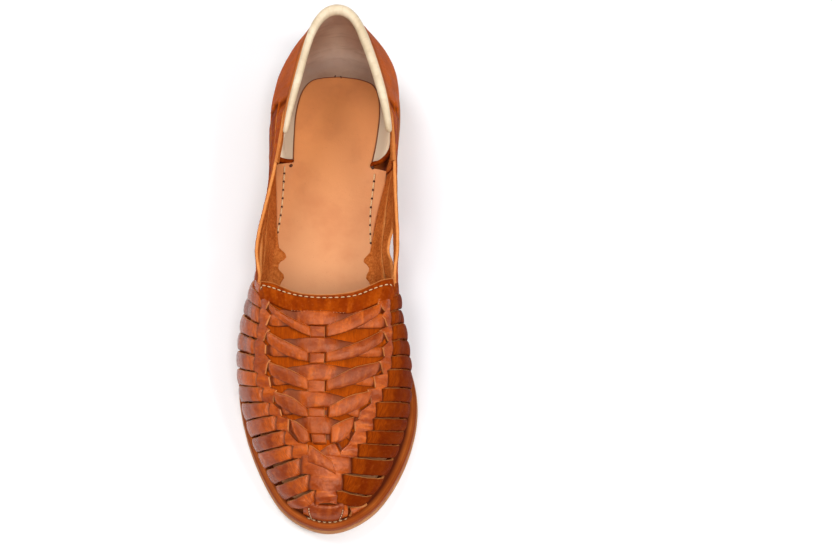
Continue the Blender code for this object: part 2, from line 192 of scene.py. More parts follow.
def outward(around):
    """Level unit vector pointing out of the sole's edge: the run of the edge turned a quarter turn."""
    step = 0.02
    run = station(np.asarray(around) + step)[..., :2] - station(np.asarray(around) - step)[..., :2]
    return unit(np.stack([-run[..., 1], run[..., 0]], axis=-1))


def sole_edge(around, inset):
    """Points of the sole's outline, moved in by inset."""
    return station(around)[..., :2] - outward(around) * np.asarray(inset)[..., None]


def seat_point(around, inset):
    """Points of the insole's top, moved in from the sole's edge."""
    level = sole_edge(around, inset)
    return np.concatenate([level, (deck(level[..., 1]) + GAP + INSOLE)[..., None]], axis=-1)


def wall_ends(around):
    """Foot and top of the upper's outer face, how it leaves and reaches them, and the outward direction."""
    table = station(around)
    out = outward(around)
    foot_level = table[..., :2] - out * table[..., 2:3]
    foot = np.concatenate([foot_level, (deck(foot_level[..., 1]) + GAP)[..., None]], axis=-1)
    lean, turn = table[..., 6:7], table[..., 7:8]
    leave = np.concatenate([out * np.sin(lean), np.cos(lean)], axis=-1)
    reach = np.concatenate([-out * np.sin(turn), np.cos(turn)], axis=-1)
    return foot, table[..., 3:6], leave, reach, out


def wall_point(around, climb):
    """Outer face of the side wall: a cubic Bezier from foot to top, leaning out and then in.

    The handles are WALL_HANDLE of the chord, and its run along the shoe is shared evenly between the points.
    """
    foot, top, leave, reach, out = wall_ends(around)
    chord = top - foot
    size = length(chord) * WALL_HANDLE
    along = np.stack([-out[..., 1], out[..., 0], 0 * out[..., 0]], axis=-1)
    slide = along * np.sum(chord * along, axis=-1, keepdims=True) / 3.0
    first = foot + leave * size + slide
    second = top - reach * size - slide
    t = np.asarray(climb)[..., None]
    s = 1.0 - t
    return s**3 * foot + 3 * s * s * t * first + 3 * s * t * t * second + t**3 * top


def crown_point(row, over):
    """Outer face of the vamp's middle: a cubic Hermite arch between the warp lines, bowed towards the toe.

    The bow is 1 - |2q - 1|^BOW_CURVE across the arch, a little flatter in the middle than an arc.
    """
    row = np.asarray(row, dtype=float)
    left = station(row)[..., 3:6]
    right = station(ROUND - row)[..., 3:6]
    chord = right - left
    size = length(chord) * CROWN_HANDLE
    rise, bow = (np.interp(row, np.arange(len(table)), table)[..., None] for table in (CROWN_RISE, CROWN_BOW))
    slope = np.clip(4.0 * rise / np.maximum(size, 1e-6), 0.0, 0.9)
    level = unit(chord) * np.sqrt(1 - slope**2)
    up = np.array([0.0, 0.0, 1.0]) * slope
    q = np.asarray(over)[..., None]
    arch = hermite(q, left, size * (level + up), right, size * (level - up))
    arch[..., 1:2] -= bow * (1 - np.abs(2 * q - 1)**BOW_CURVE)
    return arch


def vamp_point(row, over):
    """The whole vamp: over runs 0 to 1 up the outer wall, to 2 across the crown, to 3 down the inner wall."""
    row, over = np.broadcast_arrays(np.asarray(row, dtype=float), np.asarray(over, dtype=float))
    outer = wall_point(row, np.clip(over, -0.1, 1.0))
    crown = crown_point(row, np.clip(over - 1.0, 0.0, 1.0))
    inner = wall_point(ROUND - row, np.clip(3.0 - over, -0.1, 1.0))
    return np.where((over <= 1.0)[..., None], outer, np.where((over < 2.0)[..., None], crown, inner))


def raised(surface, first, second, height):
    """Points at a height above a surface, along its normal, which comes from central differences."""
    first, second, height = np.broadcast_arrays(first, second, height)
    run = surface(first + 0.03, second) - surface(first - 0.03, second)
    climb = surface(first, second + 0.01) - surface(first, second - 0.01)
    return surface(first, second) + unit(np.cross(climb, run)) * height[..., None]


# ---------------------------------------------------------------- meshes

VALUES = ("run", "side", "raw", "flesh", "tone", "dip", "deep")


class Piece:
    """Closed surfaces gathered for one piece, with the numbers that its finish reads at each point.

    run: distance along a strip, mm; side: -1 to 1 across it; raw: 1 on a cut edge; flesh: 1 on the suede
    side; tone: a colour of its own, set low on the inner fingers for painted shade; dip: 1 where the leather
    is drawn down and stretched, and on the welt its burnished lines and painted shade at the upper's foot;
    deep: 1 where it lies low between its neighbours, for painted shade there.
    """

    def __init__(self):
        self.points = []
        self.faces = []
        self.values = {name: [] for name in VALUES}
        self.count = 0

    def add(self, points, faces, **values):
        """Adds one closed surface; its faces are turned if its signed volume is negative."""
        points = np.asarray(points, dtype=float).reshape(-1, 3)
        middle = points.mean(axis=0)
        volume = 0.0
        for block in faces:
            for corner in range(1, block.shape[1] - 1):
                a, b, c = (points[block[:, place]] - middle for place in (0, corner, corner + 1))
                volume += np.sum(a * np.cross(b, c))
        for block in faces:
            self.faces.append((block if volume > 0 else block[:, ::-1]) + self.count)
        self.points.append(points)
        for name in VALUES:
            value = np.asarray(values.get(name, 0.0), dtype=float)
            self.values[name].append(np.broadcast_to(value.ravel() if value.ndim else value, (len(points),)))
        self.count += len(points)

    def make(self, name, finish, slot="upper_leather", weld=False, sharp=50.0):
        """The piece's object, at the origin, riding on the shoe's one body."""
        mesh = bpy.data.meshes.new(name)
        faces = [face for block in self.faces for face in block.tolist()]
        mesh.from_pydata((np.concatenate(self.points) * MM).tolist(), [], faces)
        for value_name, parts in self.values.items():
            layer = mesh.attributes.new(value_name, "FLOAT", "POINT")
            layer.data.foreach_set("value", np.concatenate(parts).astype(np.float32))
        if weld:
            weld_mesh(mesh)
        mesh.shade_smooth()
        mesh.set_sharp_from_angle(angle=np.radians(sharp))
        mesh.materials.append(finish)
        item = bpy.data.objects.new(name, mesh)
        bpy.context.scene.collection.objects.link(item)
        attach(item, "root")
        return item


def weld_mesh(mesh):
    """Merges doubled points and drops faces that have shrunk to a line."""
    work = bmesh.new()
    work.from_mesh(mesh)
    bmesh.ops.remove_doubles(work, verts=work.verts, dist=2e-6)
    bmesh.ops.dissolve_degenerate(work, edges=work.edges, dist=1e-6)
    work.to_mesh(mesh)
    work.free()


def tube_faces(rings, sides, ends=True):
    """Quads between rings of points numbered ring by ring, each ring closed, and a face over each end."""
    ring, side = np.meshgrid(np.arange(rings - 1), np.arange(sides), indexing="ij")
    beside = (side + 1) % sides
    quads = np.stack([ring * sides + side, ring * sides + beside,
                      (ring + 1) * sides + beside, (ring + 1) * sides + side], axis=-1).reshape(-1, 4)
    if not ends:
        return [quads]
    return [quads, np.arange(sides)[None, ::-1], np.arange((rings - 1) * sides, rings * sides)[None, :]]


# Half of a strip's edge, from its top round to its underside: share of the half width, depth under the top in
# shares of the thickness, cut edge, flesh side.
STRIP_EDGE = np.array([
    (0.93, 0.04, 0.25, 0.0), (0.985, 0.20, 0.9, 0.0), (1.00, 0.48, 1.0, 0.0), (1.00, 0.85, 1.0, 0.4),
    (0.93, 1.0, 0.4, 1.0),
])


def strip_section(wide):
    """Closed section of a strip, once round: its top from -1 to 1, an edge, the underside, the other edge."""
    top = np.zeros((wide, 4))
    top[:, 0] = np.linspace(-0.84, 0.84, wide)
    under = np.array([(place, 1.0, 0.0, 1.0) for place in np.linspace(0.6, -0.6, 5)])
    return np.concatenate([top, STRIP_EDGE, under, STRIP_EDGE[::-1] * np.array([-1.0, 1.0, 1.0, 1.0])])


def ripple(run, side, seed):
    """Unevenness of hand-cut leather, from -1 to 1: three shifted sines of the run and the side."""
    return (0.5 * np.sin(run * 0.55 + seed * 2.1) + 0.3 * np.sin(run * 1.3 + side * 2.0 + seed * 4.7)
            + 0.2 * np.sin(run * 0.9 - side * 3.1 + seed * 7.9))


def lay_strip(piece, surface, shape, thickness=VAMP_LEATHER, dome=0.2, tone=0.0, steps=40, wide=9, wave=0.06,
              edge_wave=0.07, pale=(0.2, 1.0), low=(0.15, -0.65), suede=0.0):
    """Lays a closed strip of leather on a surface.

    shape(share, side), at a share of the strip's length and a side from -1 to 1, gives the surface's two
    parameters, the height of the strip's top above the surface and how far the leather is drawn down. The
    section goes round the strip, lowered by its depth, its middle raised by dome * (1 - side^2). It has steps
    rings, wide points over its top; wave and edge_wave are the unevenness of its face and of its cut edges,
    pale how pale the cut is on each side, low the heights between which painted shade darkens it, and suede 1
    where its flesh side is up. The cut is paler leather; strips across the vamp keep it pale mostly on their
    heel-facing edge, side 1, as painted light, and leave the toe-facing edge dark, as painted shade.
    """
    section = strip_section(wide)
    share, side = np.meshgrid(np.linspace(0.0, 1.0, steps + 1), section[:, 0], indexing="ij")
    grid = np.ones_like(share)

    def line(place):
        return surface(*shape(share[:, 0], place * grid[:, 0])[:2])

    run = distance_along(line(0.0))[:, None] * grid
    width = length(line(1.0) - line(-1.0))
    seed = tone * 5.0 + steps
    wander = edge_wave * ripple(run * 1.7, np.sign(side) * 2.0, seed) * 2.0 / np.maximum(width, 1.0)
    first, second = shape(share, side + wander * side**2 * np.sign(side))[:2]
    face, drawn = shape(share, side)[2:]
    top = face + dome * (1.0 - side**2) + wave * ripple(run, side, seed)
    points = raised(surface, first, second, top - section[:, 1] * thickness)
    piece.add(points, tube_faces(*share.shape), run=run + tone * 37.0, side=side, tone=tone * grid,
              # raw: the cut's pale, scaled by pale on each side; the pale side is painted light, and the
              # other side darkens as painted shade
              raw=section[:, 2] * np.where(side < 0.0, pale[0], pale[1]), dip=drawn * grid,
              # deep: painted shade where the strip's top lies low between its neighbours
              flesh=np.maximum(section[:, 3], suede) * grid, deep=smooth_step(-face, -low[0], -low[1]) * grid)


def round_angles(sides):
    """Angles once round a tube."""
    return np.arange(sides) * 2.0 * np.pi / sides


def round_line(beside, up, angle):
    """Directions all round each point of a line: beside * cos(angle) + up * sin(angle)."""
    return beside[:, None] * np.cos(angle)[:, None] + up[:, None] * np.sin(angle)[:, None]


def capsules(piece, start, end, up, radius, lift=0.0):
    """Short closed rods from start to end points, one to each row, for stitches and the painted shade of
    their holes.

    Along a rod s runs from -1 to 1: its radius is radius * sqrt(1 - s^4) and its middle rises by
    lift * (1 - s^2).
    """
    s = np.array([-1.0, -0.93, -0.7, -0.3, 0.3, 0.7, 0.93, 1.0])
    angle = round_angles(6)
    along = end - start
    beside = unit(np.cross(unit(along), up))
    centre = (start + end)[:, None] / 2.0 + along[:, None] * s[:, None] / 2.0
    centre = centre + up[:, None] * (lift * (1.0 - s**2))[:, None]
    size = (radius * np.sqrt(np.clip(1.0 - s**4, 0.004, 1.0)))[..., None, None]
    points = centre[:, :, None] + round_line(beside, up, angle)[:, None] * size
    first = (np.arange(len(start)) * len(s) * len(angle))[:, None, None]
    blocks = [(block[None] + first).reshape(-1, block.shape[1]) for block in tube_faces(len(s), len(angle))]
    run = (s * 0.5)[None, :, None] * length(along)[:, None] + 0.0 * angle
    piece.add(points, blocks, run=run, side=np.broadcast_to(angle, run.shape))


def bead(piece, line, radius, sides, deep):
    """A round bead along a line of points: circles square to the line, closed at both ends."""
    along = unit(np.gradient(line, axis=0))
    beside = unit(np.cross(along, np.array([0.0, 1.0, 0.3])))
    angle = round_angles(sides)
    share = np.linspace(-1.0, 1.0, len(line))
    size = (radius * np.sqrt(np.clip(1.0 - share**12, 0.05, 1.0)))[:, None, None]
    run = distance_along(line)[:, None] + 0.0 * angle
    piece.add(line[:, None] + round_line(beside, np.cross(beside, along), angle) * size,
              tube_faces(len(line), sides), run=run, side=0.5 * np.sin(angle) + 0.0 * run, deep=deep)


# ---------------------------------------------------------------- finishes


class Value:
    """A number that runs through a node tree. Python's operators add the Math nodes."""

    def __init__(self, finish, socket):
        self.finish = finish
        self.socket = socket

    def math(self, operation, *others, clamp=False):
        made = self.finish.node("ShaderNodeMath", {"operation": operation, "use_clamp": clamp},
                                dict(enumerate((self, *others))))
        return Value(self.finish, made.outputs[0])

    def __add__(self, other):
        return self.math("ADD", other)

    def __sub__(self, other):
        return self.math("SUBTRACT", other)

    def __mul__(self, other):
        return self.math("MULTIPLY", other)

    def __rsub__(self, other):
        return self.math("MULTIPLY", -1.0).math("ADD", other)

    __radd__ = __add__
    __rmul__ = __mul__

    def sine(self):
        return self.math("SINE")

    def size(self):
        return self.math("ABSOLUTE")

    def held(self):
        """Kept between 0 and 1."""
        return self.math("ADD", 0.0, clamp=True)

    def ramp(self, start, end):
        """0 at start, 1 at end, smoothly; start may be above end."""
        made = self.finish.node("ShaderNodeMapRange", {"interpolation_type": "SMOOTHSTEP"},
                                {"Value": self, "From Min": start, "From Max": end})
        return Value(self.finish, made.outputs[0])


class Finish:
    """One material's node tree and its Principled shader."""

    def __init__(self, name):
        self.material = bpy.data.materials.new(name)
        self.material.use_nodes = True
        self.tree = self.material.node_tree
        self.shader = self.tree.nodes["Principled BSDF"]
        self.place = self.node("ShaderNodeTexCoord").outputs["Object"]

    def node(self, kind, settings=None, inputs=None):
        """A new node of that type: its settings first, then the values or links of its sockets."""
        made = self.tree.nodes.new(kind)
        for name, value in (settings or {}).items():
            setattr(made, name, value)
        for name, value in (inputs or {}).items():
            self.feed(made.inputs[name], value)
        return made

    def feed(self, socket, value):
        """Links a socket to a Value or another socket, or sets it."""
        if isinstance(value, Value):
            value = value.socket
        if isinstance(value, bpy.types.NodeSocket):
            self.tree.links.new(value, socket)
        else:
            socket.default_value = value

    def read(self, name):
        """One of the numbers kept at each point of a piece's mesh."""
        return Value(self, self.node("ShaderNodeAttribute", {"attribute_name": name}).outputs["Fac"])

    def position(self, axis):
        """The place along one axis, in metres."""
        return Value(self, self.node("ShaderNodeSeparateXYZ", inputs={0: self.place}).outputs[axis])

    def noise(self, scale, detail=2.0, rough=0.5, space=None, stretch=None):
        """Cloudy noise between 0 and 1, over the object's own coordinates, stretched or not, or over three
        numbers of a strip, for patterns that follow it."""
        place = self.place
        if space:
            place = self.node("ShaderNodeCombineXYZ", inputs=dict(enumerate(space))).outputs[0]
        if stretch:
            place = self.node("ShaderNodeMapping", inputs={"Vector": place, "Scale": stretch}).outputs[0]
        made = self.node("ShaderNodeTexNoise", inputs={"Vector": place, "Scale": scale, "Detail": detail,
                                                       "Roughness": rough})
        return Value(self, made.outputs[0])

    def pores(self, scale):
        """Distance to scattered cells: the leather's pores."""
        made = self.node("ShaderNodeTexVoronoi", inputs={"Vector": self.place, "Scale": scale})
        return Value(self, made.outputs["Distance"])

    def mix(self, first, second, share):
        """Colour from first to second by a share."""
        return self.node("ShaderNodeMix", {"data_type": "RGBA"}, {0: share, 6: first, 7: second}).outputs[2]

    def coats(self, colour, *coats):
        """A colour with coats laid over it in turn, each given as its colour and its share."""
        for coat, share in coats:
            colour = self.mix(colour, coat, share)
        return colour

    def finish(self, colour, rough, relief=None, depth=0.0, specular=0.5, shine=(1.0, 1.0, 1.0, 1.0)):
        """Fills in the shader: base colour, roughness, a bump of a depth in metres, and the strength and
        colour of the shine."""
        self.feed(self.shader.inputs["Base Color"], colour)
        self.feed(self.shader.inputs["Roughness"], rough)
        self.shader.inputs["Specular IOR Level"].default_value = specular
        self.shader.inputs["Specular Tint"].default_value = shine
        if relief is not None:
            bump = self.node("ShaderNodeBump", inputs={"Strength": 1.0, "Distance": depth, "Height": relief})
            self.feed(self.shader.inputs["Normal"], bump.outputs[0])
        return self.material


def tint(red, green, blue):
    """A colour picked as 0 to 255 screen values, as the shader's linear light."""
    share = np.array([red, green, blue]) / 255.0
    linear = np.where(share <= 0.04045, share / 12.92, ((share + 0.055) / 1.055)**2.4)
    return (*[float(part) for part in linear], 1.0)


def woven_leather(name, gloss, grainy, dark=0.0):
    """Waxed calf: mottled chestnut, brighter where drawn down, darker with painted shade along its edges and
    where it lies low, pale raw edges, and suede on the flesh side. gloss is its shine, grainy how strongly it
    is streaked along its run, and dark how far it is darkened, as painted shade on the inner fingers, or
    below 0 how far it is made paler."""
    f = Finish(name)
    run, side, raw, flesh, tone, dip, deep = (f.read(value) for value in VALUES)
    strip = tone * 9.0
    clouds = f.noise(90.0, 3.0, 0.55)
    fine = f.noise(700.0, 3.0, 0.6)
    nap = f.noise(850.0, 4.0, 0.7)
    patches = f.noise(1.0, 3.0, 0.6, space=(run * 0.24, side * 0.35, strip))
    streaks = f.noise(3.0, 3.0, 0.6, space=(run * 1.1, side * 0.35, strip))
    wrinkles = f.noise(160.0, 4.0, 0.6, space=(run * 0.12, side * 5.0, strip))
    drawn = dip * (0.55 + streaks.ramp(0.35, 0.65) * 0.45)
    edge = side.size().ramp(0.84, 0.98) * (1.0 - raw)
    suede = f.mix(tint(160, 78, 26), tint(214, 126, 60), (nap * 0.7 + clouds * 0.3).ramp(0.3, 0.7))
    colour = f.coats(
        f.mix(tint(142, 50, 2), tint(178, 74, 4), clouds.ramp(0.3, 0.7)),
        (tint(204, 94, 14), patches.ramp(0.5, 0.66) * (0.7 * grainy)),
        (tint(122, 42, 6), patches.ramp(0.46, 0.34) * (0.5 * grainy)),
        # darker for a low tone: each strip's own shade, and on the inner fingers painted shade
        (tint(112, 34, 4), (0.2 - tone * 0.8).held() * 0.6),
        (tint(112, 38, 2), fine.ramp(0.5, 0.68) * 0.35),
        (tint(216, 116, 54), fine.ramp(0.46, 0.3) * 0.15),
        (tint(206, 92, 12), drawn * 0.7),
        (tint(112, 36, 8), dip * streaks.ramp(0.62, 0.4) * 0.45),
        # dark: painted shade on the inner fingers' leather; below 0 the leather is made paler
        (tint(84, 22, 0) if dark > 0.0 else tint(226, 112, 34), abs(dark)),
        # painted shade: dark along the strips' edges where the cut is not pale, and where they lie low; the
        # edges are partly burnished too
        (tint(84, 28, 8), (edge * 0.7 + deep * 0.8).held()),
        # pale cut edges: the leather's own raw colour, laid strongest on the side facing the light as painted
        # light
        (f.mix(tint(206, 118, 54), tint(238, 164, 98), fine), (raw * 1.15 - 0.12).held()),
        (suede, flesh))
    relief = (f.pores(900.0) * 0.25 + fine * 0.3 + wrinkles * 0.3 + clouds * 0.9 + patches * 0.8
              + nap * flesh * 2.0)
    rough = ((0.43 - gloss * 0.57) + clouds * 0.1 + fine * 0.1 + patches.ramp(0.3, 0.7) * 0.12
             + flesh * 0.5 + raw * 0.35 + deep * 0.3)
    return f.finish(colour, rough, relief, 0.00028, specular=gloss, shine=(1.0, 0.6, 0.4, 1.0))


def insole_leather():
    """Natural veg-tan: pale in the forefoot, warmer under the heel, fine pores, and a dark edge: the cut
    edge's own dark, widened with painted shade in the gap beside it.
    """
    f = Finish("insole_leather")
    clouds = f.noise(45.0, 4.0, 0.6)
    colour = f.coats(
        f.mix(tint(212, 148, 98), tint(222, 142, 80), f.position(1).ramp(-0.02, 0.11)),
        (tint(194, 118, 68), clouds.ramp(0.42, 0.75) * 0.5),
        (tint(176, 104, 60), f.noise(900.0, 2.0, 0.5).ramp(0.68, 0.78) * 0.35),
        # raw: the dark cut edge, with painted shade in the gap round the insole
        (tint(92, 44, 20), f.read("raw") * 0.9))
    relief = f.pores(1100.0) * 0.3 + f.noise(600.0, 3.0, 0.6) * 0.6 + clouds * 0.5
    return f.finish(colour, 0.5 + clouds * 0.15, relief, 0.0001)


def welt_leather():
    """The ledge round the upper: chestnut, with a burnished dark line at its outer edge and painted shade
    towards the foot of the upper.
    """
    f = Finish("welt_leather")
    clouds = f.noise(70.0, 3.0, 0.6)
    streaks = f.noise(220.0, 3.0, 0.6)
    colour = f.coats(
        f.mix(tint(166, 78, 20), tint(188, 98, 34), clouds.ramp(0.35, 0.7)),
        # dip: the burnished dark lines at the edge, and painted shade at the upper's foot
        (tint(84, 26, 6), f.read("dip")),
        (tint(140, 62, 20), f.read("raw") * (0.75 + streaks * 0.25)))
    relief = f.pores(900.0) * 0.4 + streaks * 0.6 + clouds * 0.3
    return f.finish(colour, 0.5 + clouds * 0.12, relief, 0.00015, specular=0.12)


def sole_leather():
    """Pale compressed sole leather: fine level lines on its edge, scuffed and darker underneath."""
    f = Finish("sole_leather")
    under = f.read("flesh")
    lines = f.noise(1.0, 3.0, 0.6, stretch=(60.0, 60.0, 2600.0))
    clouds = f.noise(60.0, 4.0, 0.6)
    scuff = f.noise(14.0, 5.0, 0.7, stretch=(1.0, 4.0, 1.0))
    colour = f.coats(
        f.mix(tint(166, 102, 52), tint(188, 130, 78), lines.ramp(0.35, 0.65)),
        (tint(166, 108, 60), clouds.ramp(0.5, 0.75) * 0.5),
        (f.mix(tint(176, 128, 80), tint(206, 164, 112), scuff.ramp(0.35, 0.65)), under))
    relief = lines * (1.0 - under) * 0.8 + f.noise(500.0, 3.0, 0.6) * 0.5 + scuff * under
    return f.finish(colour, 0.62 + clouds * 0.1, relief, 0.00012)


def heel_stack():
    """Heel of stacked leather lifts: a dark line every 2 mm between bands of slightly different tan, and a
    rubber tread."""
    f = Finish("heel_stack")
    tread = f.read("flesh")
    seam = (f.position(2) * 500.0 * np.pi).sine().size().ramp(0.16, 0.0)
    lines = f.noise(1.0, 3.0, 0.6, stretch=(70.0, 70.0, 2400.0))
    band = f.noise(1.0, 0.0, 0.5, stretch=(0.0, 0.0, 480.0))
    colour = f.coats(
        f.mix(tint(168, 112, 64), tint(196, 140, 86), lines.ramp(0.3, 0.7)),
        (tint(146, 92, 50), band.ramp(0.4, 0.65) * 0.5),
        (tint(84, 46, 24), seam * 0.8 * (1.0 - tread)),
        (f.mix(tint(92, 66, 46), tint(120, 88, 62), f.noise(30.0, 4.0, 0.6)), tread))
    relief = lines * 0.5 - seam * 0.8 + f.noise(500.0, 3.0, 0.6) * 0.4
    return f.finish(colour, 0.5 + lines * 0.15, relief, 0.00012)


def lining_leather():
    """Smooth taupe lining, slightly creased low at the back, paler towards its front edges as painted light,
    and darker at its foot where it turns into the seat.
    """
    f = Finish("lining_leather")
    clouds = f.noise(60.0, 3.0, 0.6)
    creases = f.noise(1.0, 3.0, 0.6, stretch=(60.0, 60.0, 420.0))
    colour = f.coats(
        f.mix(tint(188, 158, 138), tint(202, 176, 154), clouds.ramp(0.35, 0.7)),
        # painted light: paler towards the front edges
        (tint(238, 222, 194), f.position(1).ramp(0.108, 0.08)),
        (tint(156, 124, 104), creases.ramp(0.52, 0.7) * 0.35),
        # darker at the foot of its inside face, where it turns into the seat
        (tint(128, 86, 56), f.read("raw") * 0.8))
    relief = f.pores(1300.0) * 0.2 + creases * 1.2 + clouds * 0.4
    return f.finish(colour, 0.52 + clouds * 0.1, relief, 0.00018)


def roll_leather():
    """Cream kid over the padded collar roll, with faint gathers across it."""
    f = Finish("roll_leather")
    clouds = f.noise(110.0, 3.0, 0.6)
    gathers = f.noise(1.0, 3.0, 0.6, space=(f.read("run") * 0.55, f.read("side") * 0.8, clouds))
    colour = f.coats(
        f.mix(tint(212, 190, 156), tint(232, 212, 182), clouds.ramp(0.3, 0.7)),
        (tint(180, 148, 110), gathers.ramp(0.5, 0.75) * 0.3),
        (tint(164, 124, 78), f.read("dip")))
    relief = gathers * 1.4 + f.pores(1200.0) * 0.2 + clouds * 0.3
    return f.finish(colour, 0.45 + clouds * 0.1, relief, 0.00016)


def thread_finish():
    """Waxed cream thread, laid in two plies."""
    f = Finish("waxed_thread")
    ply = (f.read("run") * 5.2 + f.read("side") * 3.0).sine()
    colour = f.mix(tint(222, 182, 128), tint(246, 218, 172), ply.ramp(-0.6, 0.6))
    return f.finish(colour, 0.55, ply, 0.0001)


def hole_shade_finish():
    """Dark inside of a punched hole: painted shade."""
    f = Finish("punched_hole_shade")
    return f.finish(f.mix(tint(66, 34, 18), tint(92, 52, 28), f.noise(800.0)), 0.8)


# ---------------------------------------------------------------- sole

SPINE_START = 1.6      # rows where the sole's middle line starts and ends
SPINE_END = 13.0
SOLE_PLACES = np.linspace(0.0, ROUND, 257)[:-1]
SLOT_ROW = 10.96       # the insole steps in here to let the counter's lining down to the seat
SLOT_PLACES = np.array([SLOT_ROW - 0.05, SLOT_ROW - 0.012, SLOT_ROW + 0.012, SLOT_ROW + 0.05])
INSOLE_PLACES = np.sort(np.concatenate([SOLE_PLACES, SLOT_PLACES, ROUND - SLOT_PLACES]))


def spine(around):
    """Middle line of the sole: halfway between its edges, on rows drawn in from the tip and the heel end."""
    row = SPINE_START + row_of(around) * (SPINE_END - SPINE_START) / ROWS
    return (station(row)[..., :2] + station(ROUND - row)[..., :2]) / 2.0


def plate(name, finish, slot, inset, low, high, rings, places=SOLE_PLACES, cut=1.0):
    """A closed plate of rings round the sole, from the spine underneath, round the edge, to the spine on top.

    A row of rings is: further inset in mm, share of the way to the spine, height from low (0) to high (1),
    then the raw, flesh and dip values; cut scales the raw value by place. A ring's points are
    edge + (spine - edge) * share.
    """
    further, share, height, raw, flesh, dip = np.array(rings).T[..., None]
    edge = sole_edge(places[None, :], inset(places)[None, :] + further)
    level = between(edge, spine(places)[None], share[..., None])
    z = between(low(level[..., 1]), high(level[..., 1]), height)
    flat = np.zeros_like(z)
    piece = Piece()
    piece.add(np.concatenate([level, z[..., None]], axis=-1), tube_faces(*z.shape, ends=False),
              raw=raw * cut + flat, flesh=flesh + flat, dip=dip + flat)
    return piece.make(name, finish, slot, weld=True, sharp=60.0)


OUTSOLE_RINGS = (
    (0.0, 1.0, 0.0, 0, 1, 0), (0.0, 0.6, 0.0, 0, 1, 0), (0.0, 0.25, 0.0, 0, 1, 0), (1.4, 0.0, 0.0, 0, 1, 0),
    (0.45, 0.0, 0.06, 0, 0.5, 0), (0.08, 0.0, 0.24, 0, 0, 0), (0.0, 0.0, 0.45, 0, 0, 0),
    (0.0, 0.0, 0.72, 0, 0, 0), (0.12, 0.0, 0.92, 0, 0, 0), (0.4, 0.0, 1.0, 0, 0, 0.3),
    (1.4, 0.0, 1.0, 0, 0, 1), (0.0, 0.25, 1.0, 0, 0, 1), (0.0, 0.6, 1.0, 0, 0, 1), (0.0, 1.0, 1.0, 0, 0, 1),
)
# In the midsole's rings dip marks the burnished dark lines at the outer edge and, from 2.7 mm further in,
# painted shade towards the foot of the upper.
MIDSOLE_RINGS = (
    (0.0, 1.0, 0.0, 0, 0, 0), (0.0, 0.6, 0.0, 0, 0, 0), (0.0, 0.25, 0.0, 0, 0, 0),
    (1.0, 0.0, 0.0, 1, 0, 0.6), (0.2, 0.0, 0.06, 1, 0, 0.5), (0.0, 0.0, 0.2, 1, 0, 0.3),
    (0.0, 0.0, 0.75, 1, 0, 0.3), (0.1, 0.0, 0.92, 1, 0, 0.8), (0.35, 0.0, 1.0, 0.7, 0, 0.9),
    (0.65, 0.0, 1.0, 0.6, 0, 0.5), (0.85, 0.0, 1.01, 0.7, 0, 0.15), (1.15, 0.0, 1.01, 0.5, 0, 0.1),
    (1.35, 0.0, 0.99, 0.3, 0, 0.35), (1.6, 0.0, 0.99, 0.1, 0, 0.3), (1.85, 0.0, 1.0, 0, 0, 0.1),
    (2.7, 0.0, 1.0, 0, 0, 0.35), (4.2, 0.0, 1.0, 0, 0, 1), (0.0, 0.35, 1.0, 0, 0, 0),
    (0.0, 0.65, 1.0, 0, 0, 0), (0.0, 1.0, 1.0, 0, 0, 0),
)
INSOLE_RINGS = (
    (0.0, 1.0, 0.0, 0, 0, 0), (0.0, 0.5, 0.0, 0, 0, 0), (1.2, 0.0, 0.0, 1, 0, 0), (0.15, 0.0, 0.1, 1, 0, 0),
    (0.0, 0.0, 0.4, 1, 0, 0), (0.05, 0.0, 0.75, 1, 0, 0), (0.3, 0.0, 0.94, 1, 0, 0),
    (0.75, 0.0, 1.0, 0.95, 0, 0), (1.05, 0.0, 1.0, 0.1, 0, 0), (1.9, 0.0, 1.0, 0, 0, 0),
    (4.0, 0.0, 0.97, 0, 0, 0), (0.0, 0.35, 0.93, 0, 0, 0), (0.0, 0.65, 0.91, 0, 0, 0),
    (0.0, 1.0, 0.9, 0, 0, 0),
)


SEAT_RADII = (
    (11.0, 6.4), (12.0, 6.9), (13.0, 6.7), (13.7, 6.2), (14.3, 7.0), (14.7, 8.5), (15.2, 9.8), (16.0, 10.3),
    (16.8, 10.0), (17.3, 8.7), (17.9, 6.9), (18.5, 5.4), (19.0, 4.8), (20.0, 5.0), (21.0, 6.2),
)


VAMP_INSET = 3.2       # insole's edge in from the upper's foot: under the vamp, at the waist, at the heel
WAIST_INSET = 0.5
HEEL_INSET = 3.1
WAIST_ROWS = (7.7, 8.3)


def seat_radius(around):
    """Radius of the hollow curve by which the lining turns in to the seat, from its table round the heel."""
    return through(np.asarray(around, dtype=float), *zip(*SEAT_RADII))


def insole_inset(around):
    """Inside the vamp's wall in front, near the sole's edge at the waist, inside the lining's turn behind."""
    row = row_of(around)
    ledge = station(around)[..., 2]
    front = between(VAMP_INSET, WAIST_INSET, smooth_step(row, *WAIST_ROWS))
    return ledge + np.where(row < SLOT_ROW, front, HEEL_INSET + seat_radius(around))


# Levels of the heel from the floor up: height, how far its outline lies in from the sole's edge, share of the
# way out from its middle, 1 where it is the rubber tread
HEEL_LEVELS = (
    (0.0, 30.0, 0.0, 1), (0.0, 12.0, 0.55, 1), (0.0, 1.9, 1.0, 1), (0.35, 1.45, 1.0, 0),
    (1.0, 1.25, 1.0, 0), (2.0, 1.1, 1.0, 0), (3.4, 0.95, 1.0, 0), (5.0, 0.85, 1.0, 0), (6.8, 0.75, 1.0, 0),
    (7.4, 0.85, 1.0, 0), (7.7, 1.2, 1.0, 0), (7.7, 12.0, 0.55, 0), (7.7, 30.0, 0.0, 0),
)
HEEL_MIDDLE = np.array([-1.5, 97.0])
HEEL_LEDGE = 1.9       # most that a level's outline lies in from the sole's edge
BREAST_ROW = 11.1
BREAST_BACK = 0.6      # a level's breast lies this far behind HEEL_BREAST, and its inset more


